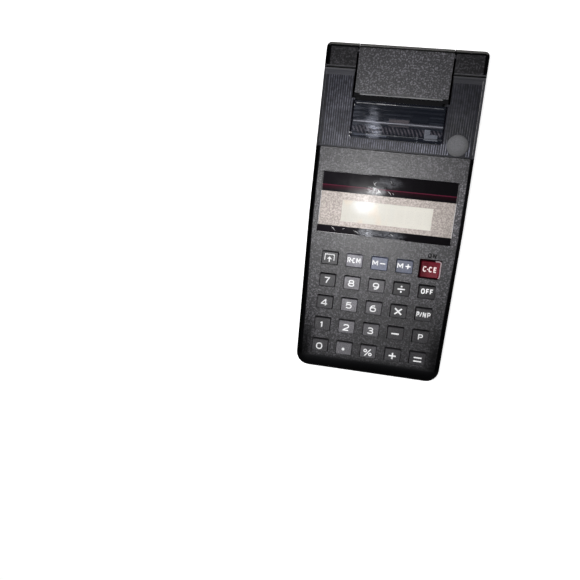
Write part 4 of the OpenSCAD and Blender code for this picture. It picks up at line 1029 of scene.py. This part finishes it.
def scratch(x0, y0, x1, y1, t, bow=0.12):
    mx, my = (x0 + x1) / 2 - (y1 - y0) * bow, (y0 + y1) / 2 + (x1 - x0) * bow
    left, right = [], []
    for k in range(9):
        u = k / 8
        px = (1 - u) ** 2 * x0 + 2 * u * (1 - u) * mx + u * u * x1
        py = (1 - u) ** 2 * y0 + 2 * u * (1 - u) * my + u * u * y1
        h = t / 2 * math.sin(math.pi * min(max(u, 0.04), 0.96))
        d = math.hypot(x1 - x0, y1 - y0)
        left.append((px - (y1 - y0) / d * h, py + (x1 - x0) / d * h))
        right.append((px + (y1 - y0) / d * h, py - (x1 - x0) / d * h))
    return left + right[::-1]


LENS_Z = (33.045, 33.062)
# painted highlight: the chips and scratches near the top of the lens stand for glints of the flash; the rest are
# scratches
marks = [prism(chip(-7.6, 15.0, 0.72, 0.6), *LENS_Z), prism(chip(-5.2, 13.7, 0.82, 2.1), *LENS_Z),
         prism(scratch(-8.6, 18.2, -7.4, 16.4, 0.34), *LENS_Z), prism(scratch(-11.2, 15.6, -9.4, 15.4, 0.22), *LENS_Z),
         prism(scratch(-0.6, 14.4, 1.6, 12.4, 0.26), *LENS_Z), prism(scratch(1.9, 13.6, 3.0, 12.8, 0.2), *LENS_Z),
         prism(scratch(-28.6, -7.6, -26.2, -9.6, 0.22), *LENS_Z), prism(scratch(-16.5, -8.4, -13.2, -9.9, 0.2), *LENS_Z),
         prism(scratch(3.4, -8.0, 5.6, -9.4, 0.2), *LENS_Z), prism(scratch(-7.2, 18.6, -8.0, 17.2, 0.18), *LENS_Z),
         prism(scratch(0.6, 19.6, 1.3, 18.6, 0.14), *LENS_Z), prism(scratch(-22.4, -8.6, -20.8, -7.6, 0.14), *LENS_Z)]
solid("lens_scuffs_and_glints", marks, scuff_and_glint_white, "case")
# painted highlight: pale lines along the lens edges
solid("lens_rim_highlight_side", [prism(rect(-36.12, -6.9, -35.92, 11.5), *LENS_Z), prism(rect(35.88, -6.9, 36.12, 11.5), *LENS_Z),
                        prism([(-35.6, -10.92), (-14.0, -10.92), (-14.0, -10.76), (-35.6, -10.72)], *LENS_Z)], rim_highlight_pale, "case")
solid("lens_rim_highlight_ends", [prism(rect(-35.4, 22.05, -10.0, 22.2), *LENS_Z), prism(rect(35.9, 11.6, 36.1, 21.4), *LENS_Z),
                        prism(rect(-36.1, 11.6, -35.95, 21.4), *LENS_Z), prism(rect(35.9, -10.2, 36.1, -7.0), *LENS_Z),
                        prism(rect(-14.0, -10.9, 12.0, -10.76), *LENS_Z)], rim_highlight_dim, "case")


# ---------------------------------------------------------------- floor, backdrop, light
def stage_plane(name, size, z):
    me = bpy.data.meshes.new(name)
    me.from_pydata([(-size, -size, z), (size, -size, z), (size, size, z), (-size, size, z)], [], [[0, 1, 2, 3]])
    o = bpy.data.objects.new(name, me)
    bpy.context.scene.collection.objects.link(o)
    return o


floor = stage_plane("floor", 14.0, -0.00003)
s = Shade("floor_pale")
s.set(base=s.scale(s.mix(s.noise(6.0), (0.86, 0.86, 0.87), (0.88, 0.88, 0.88)), 1.0), rough=0.85, spec=0.1)
s.p.inputs["Emission Color"].default_value = (1.0, 1.0, 1.0, 1.0)
s.p.inputs["Emission Strength"].default_value = 0.75
floor.data.materials.append(s.m)
floor.visible_glossy = False

me = bpy.data.meshes.new("backdrop")
bm = bmesh.new()
bmesh.ops.create_uvsphere(bm, u_segments=48, v_segments=24, radius=7.0)
bm.to_mesh(me)
bm.free()
backdrop = bpy.data.objects.new("backdrop", me)
bpy.context.scene.collection.objects.link(backdrop)
s = Shade("backdrop_white")
s.set(base=(0.0, 0.0, 0.0), rough=1.0, spec=0.0)
s.p.inputs["Emission Color"].default_value = (1.0, 1.0, 1.0, 1.0)
s.p.inputs["Emission Strength"].default_value = 0.97
me.materials.append(s.m)
backdrop.visible_diffuse = backdrop.visible_glossy = backdrop.visible_transmission = backdrop.visible_shadow = False

scene = bpy.context.scene
scene.view_settings.view_transform = "Standard"
world = bpy.data.worlds.new("studio")
world.use_nodes = True
world.node_tree.nodes["Background"].inputs[0].default_value = (1.0, 1.0, 1.0, 1.0)
world.node_tree.nodes["Background"].inputs[1].default_value = 0.04
scene.world = world


def area(name, x, y, z, w, h, power, at=(0.0, 0.0, 0.033), disk=False, colour=(1.0, 1.0, 1.0)):
    d = bpy.data.lights.new(name, "AREA")
    d.shape = "ELLIPSE" if disk else "RECTANGLE"
    d.size, d.size_y, d.energy, d.color = w, h, power, colour
    o = bpy.data.objects.new(name, d)
    o.location = (x, y, z)
    o.rotation_mode = "QUATERNION"
    o.rotation_quaternion = (Vector(at) - Vector((x, y, z))).to_track_quat("-Z", "Y")
    scene.collection.objects.link(o)
    return o


area("top_light", -0.020, 0.009, 0.345, 0.018, 0.022, 0.80, disk=True)
area("key_glow", -0.0174, -0.110, 0.345, 0.012, 0.100, 0.095, at=(-0.0174, -0.10, 0.0))
area("window_glow", -0.024, 0.094, 0.345, 0.012, 0.040, 0.018, at=(-0.024, 0.08, 0.0))
area("soft_rear", 0.0, 1.30, 1.30, 1.8, 1.0, 4.0)
area("soft_right", 1.05, 0.0, 0.38, 0.8, 0.25, 4.0)

# ---------------------------------------------------------------- camera
cam_data = bpy.data.cameras.new("camera")
cam_data.lens = 35.081
cam_data.sensor_width = 36.0
cam_data.clip_start, cam_data.clip_end = 0.01, 100.0
camera = bpy.data.objects.new("camera", cam_data)
R = ((0.98198822, 0.10295623, -0.15842711), (0.12596658, -0.98170100, 0.14281307), (-0.14082455, -0.16019727, -0.97698786))
camera.matrix_world = Matrix(((R[0][0], -R[1][0], -R[2][0], -0.0026093), (R[0][1], -R[1][1], -R[2][1], 0.0055937),
                              (R[0][2], -R[1][2], -R[2][2], 0.345559), (0, 0, 0, 1)))
scene.collection.objects.link(camera)
scene.camera = camera
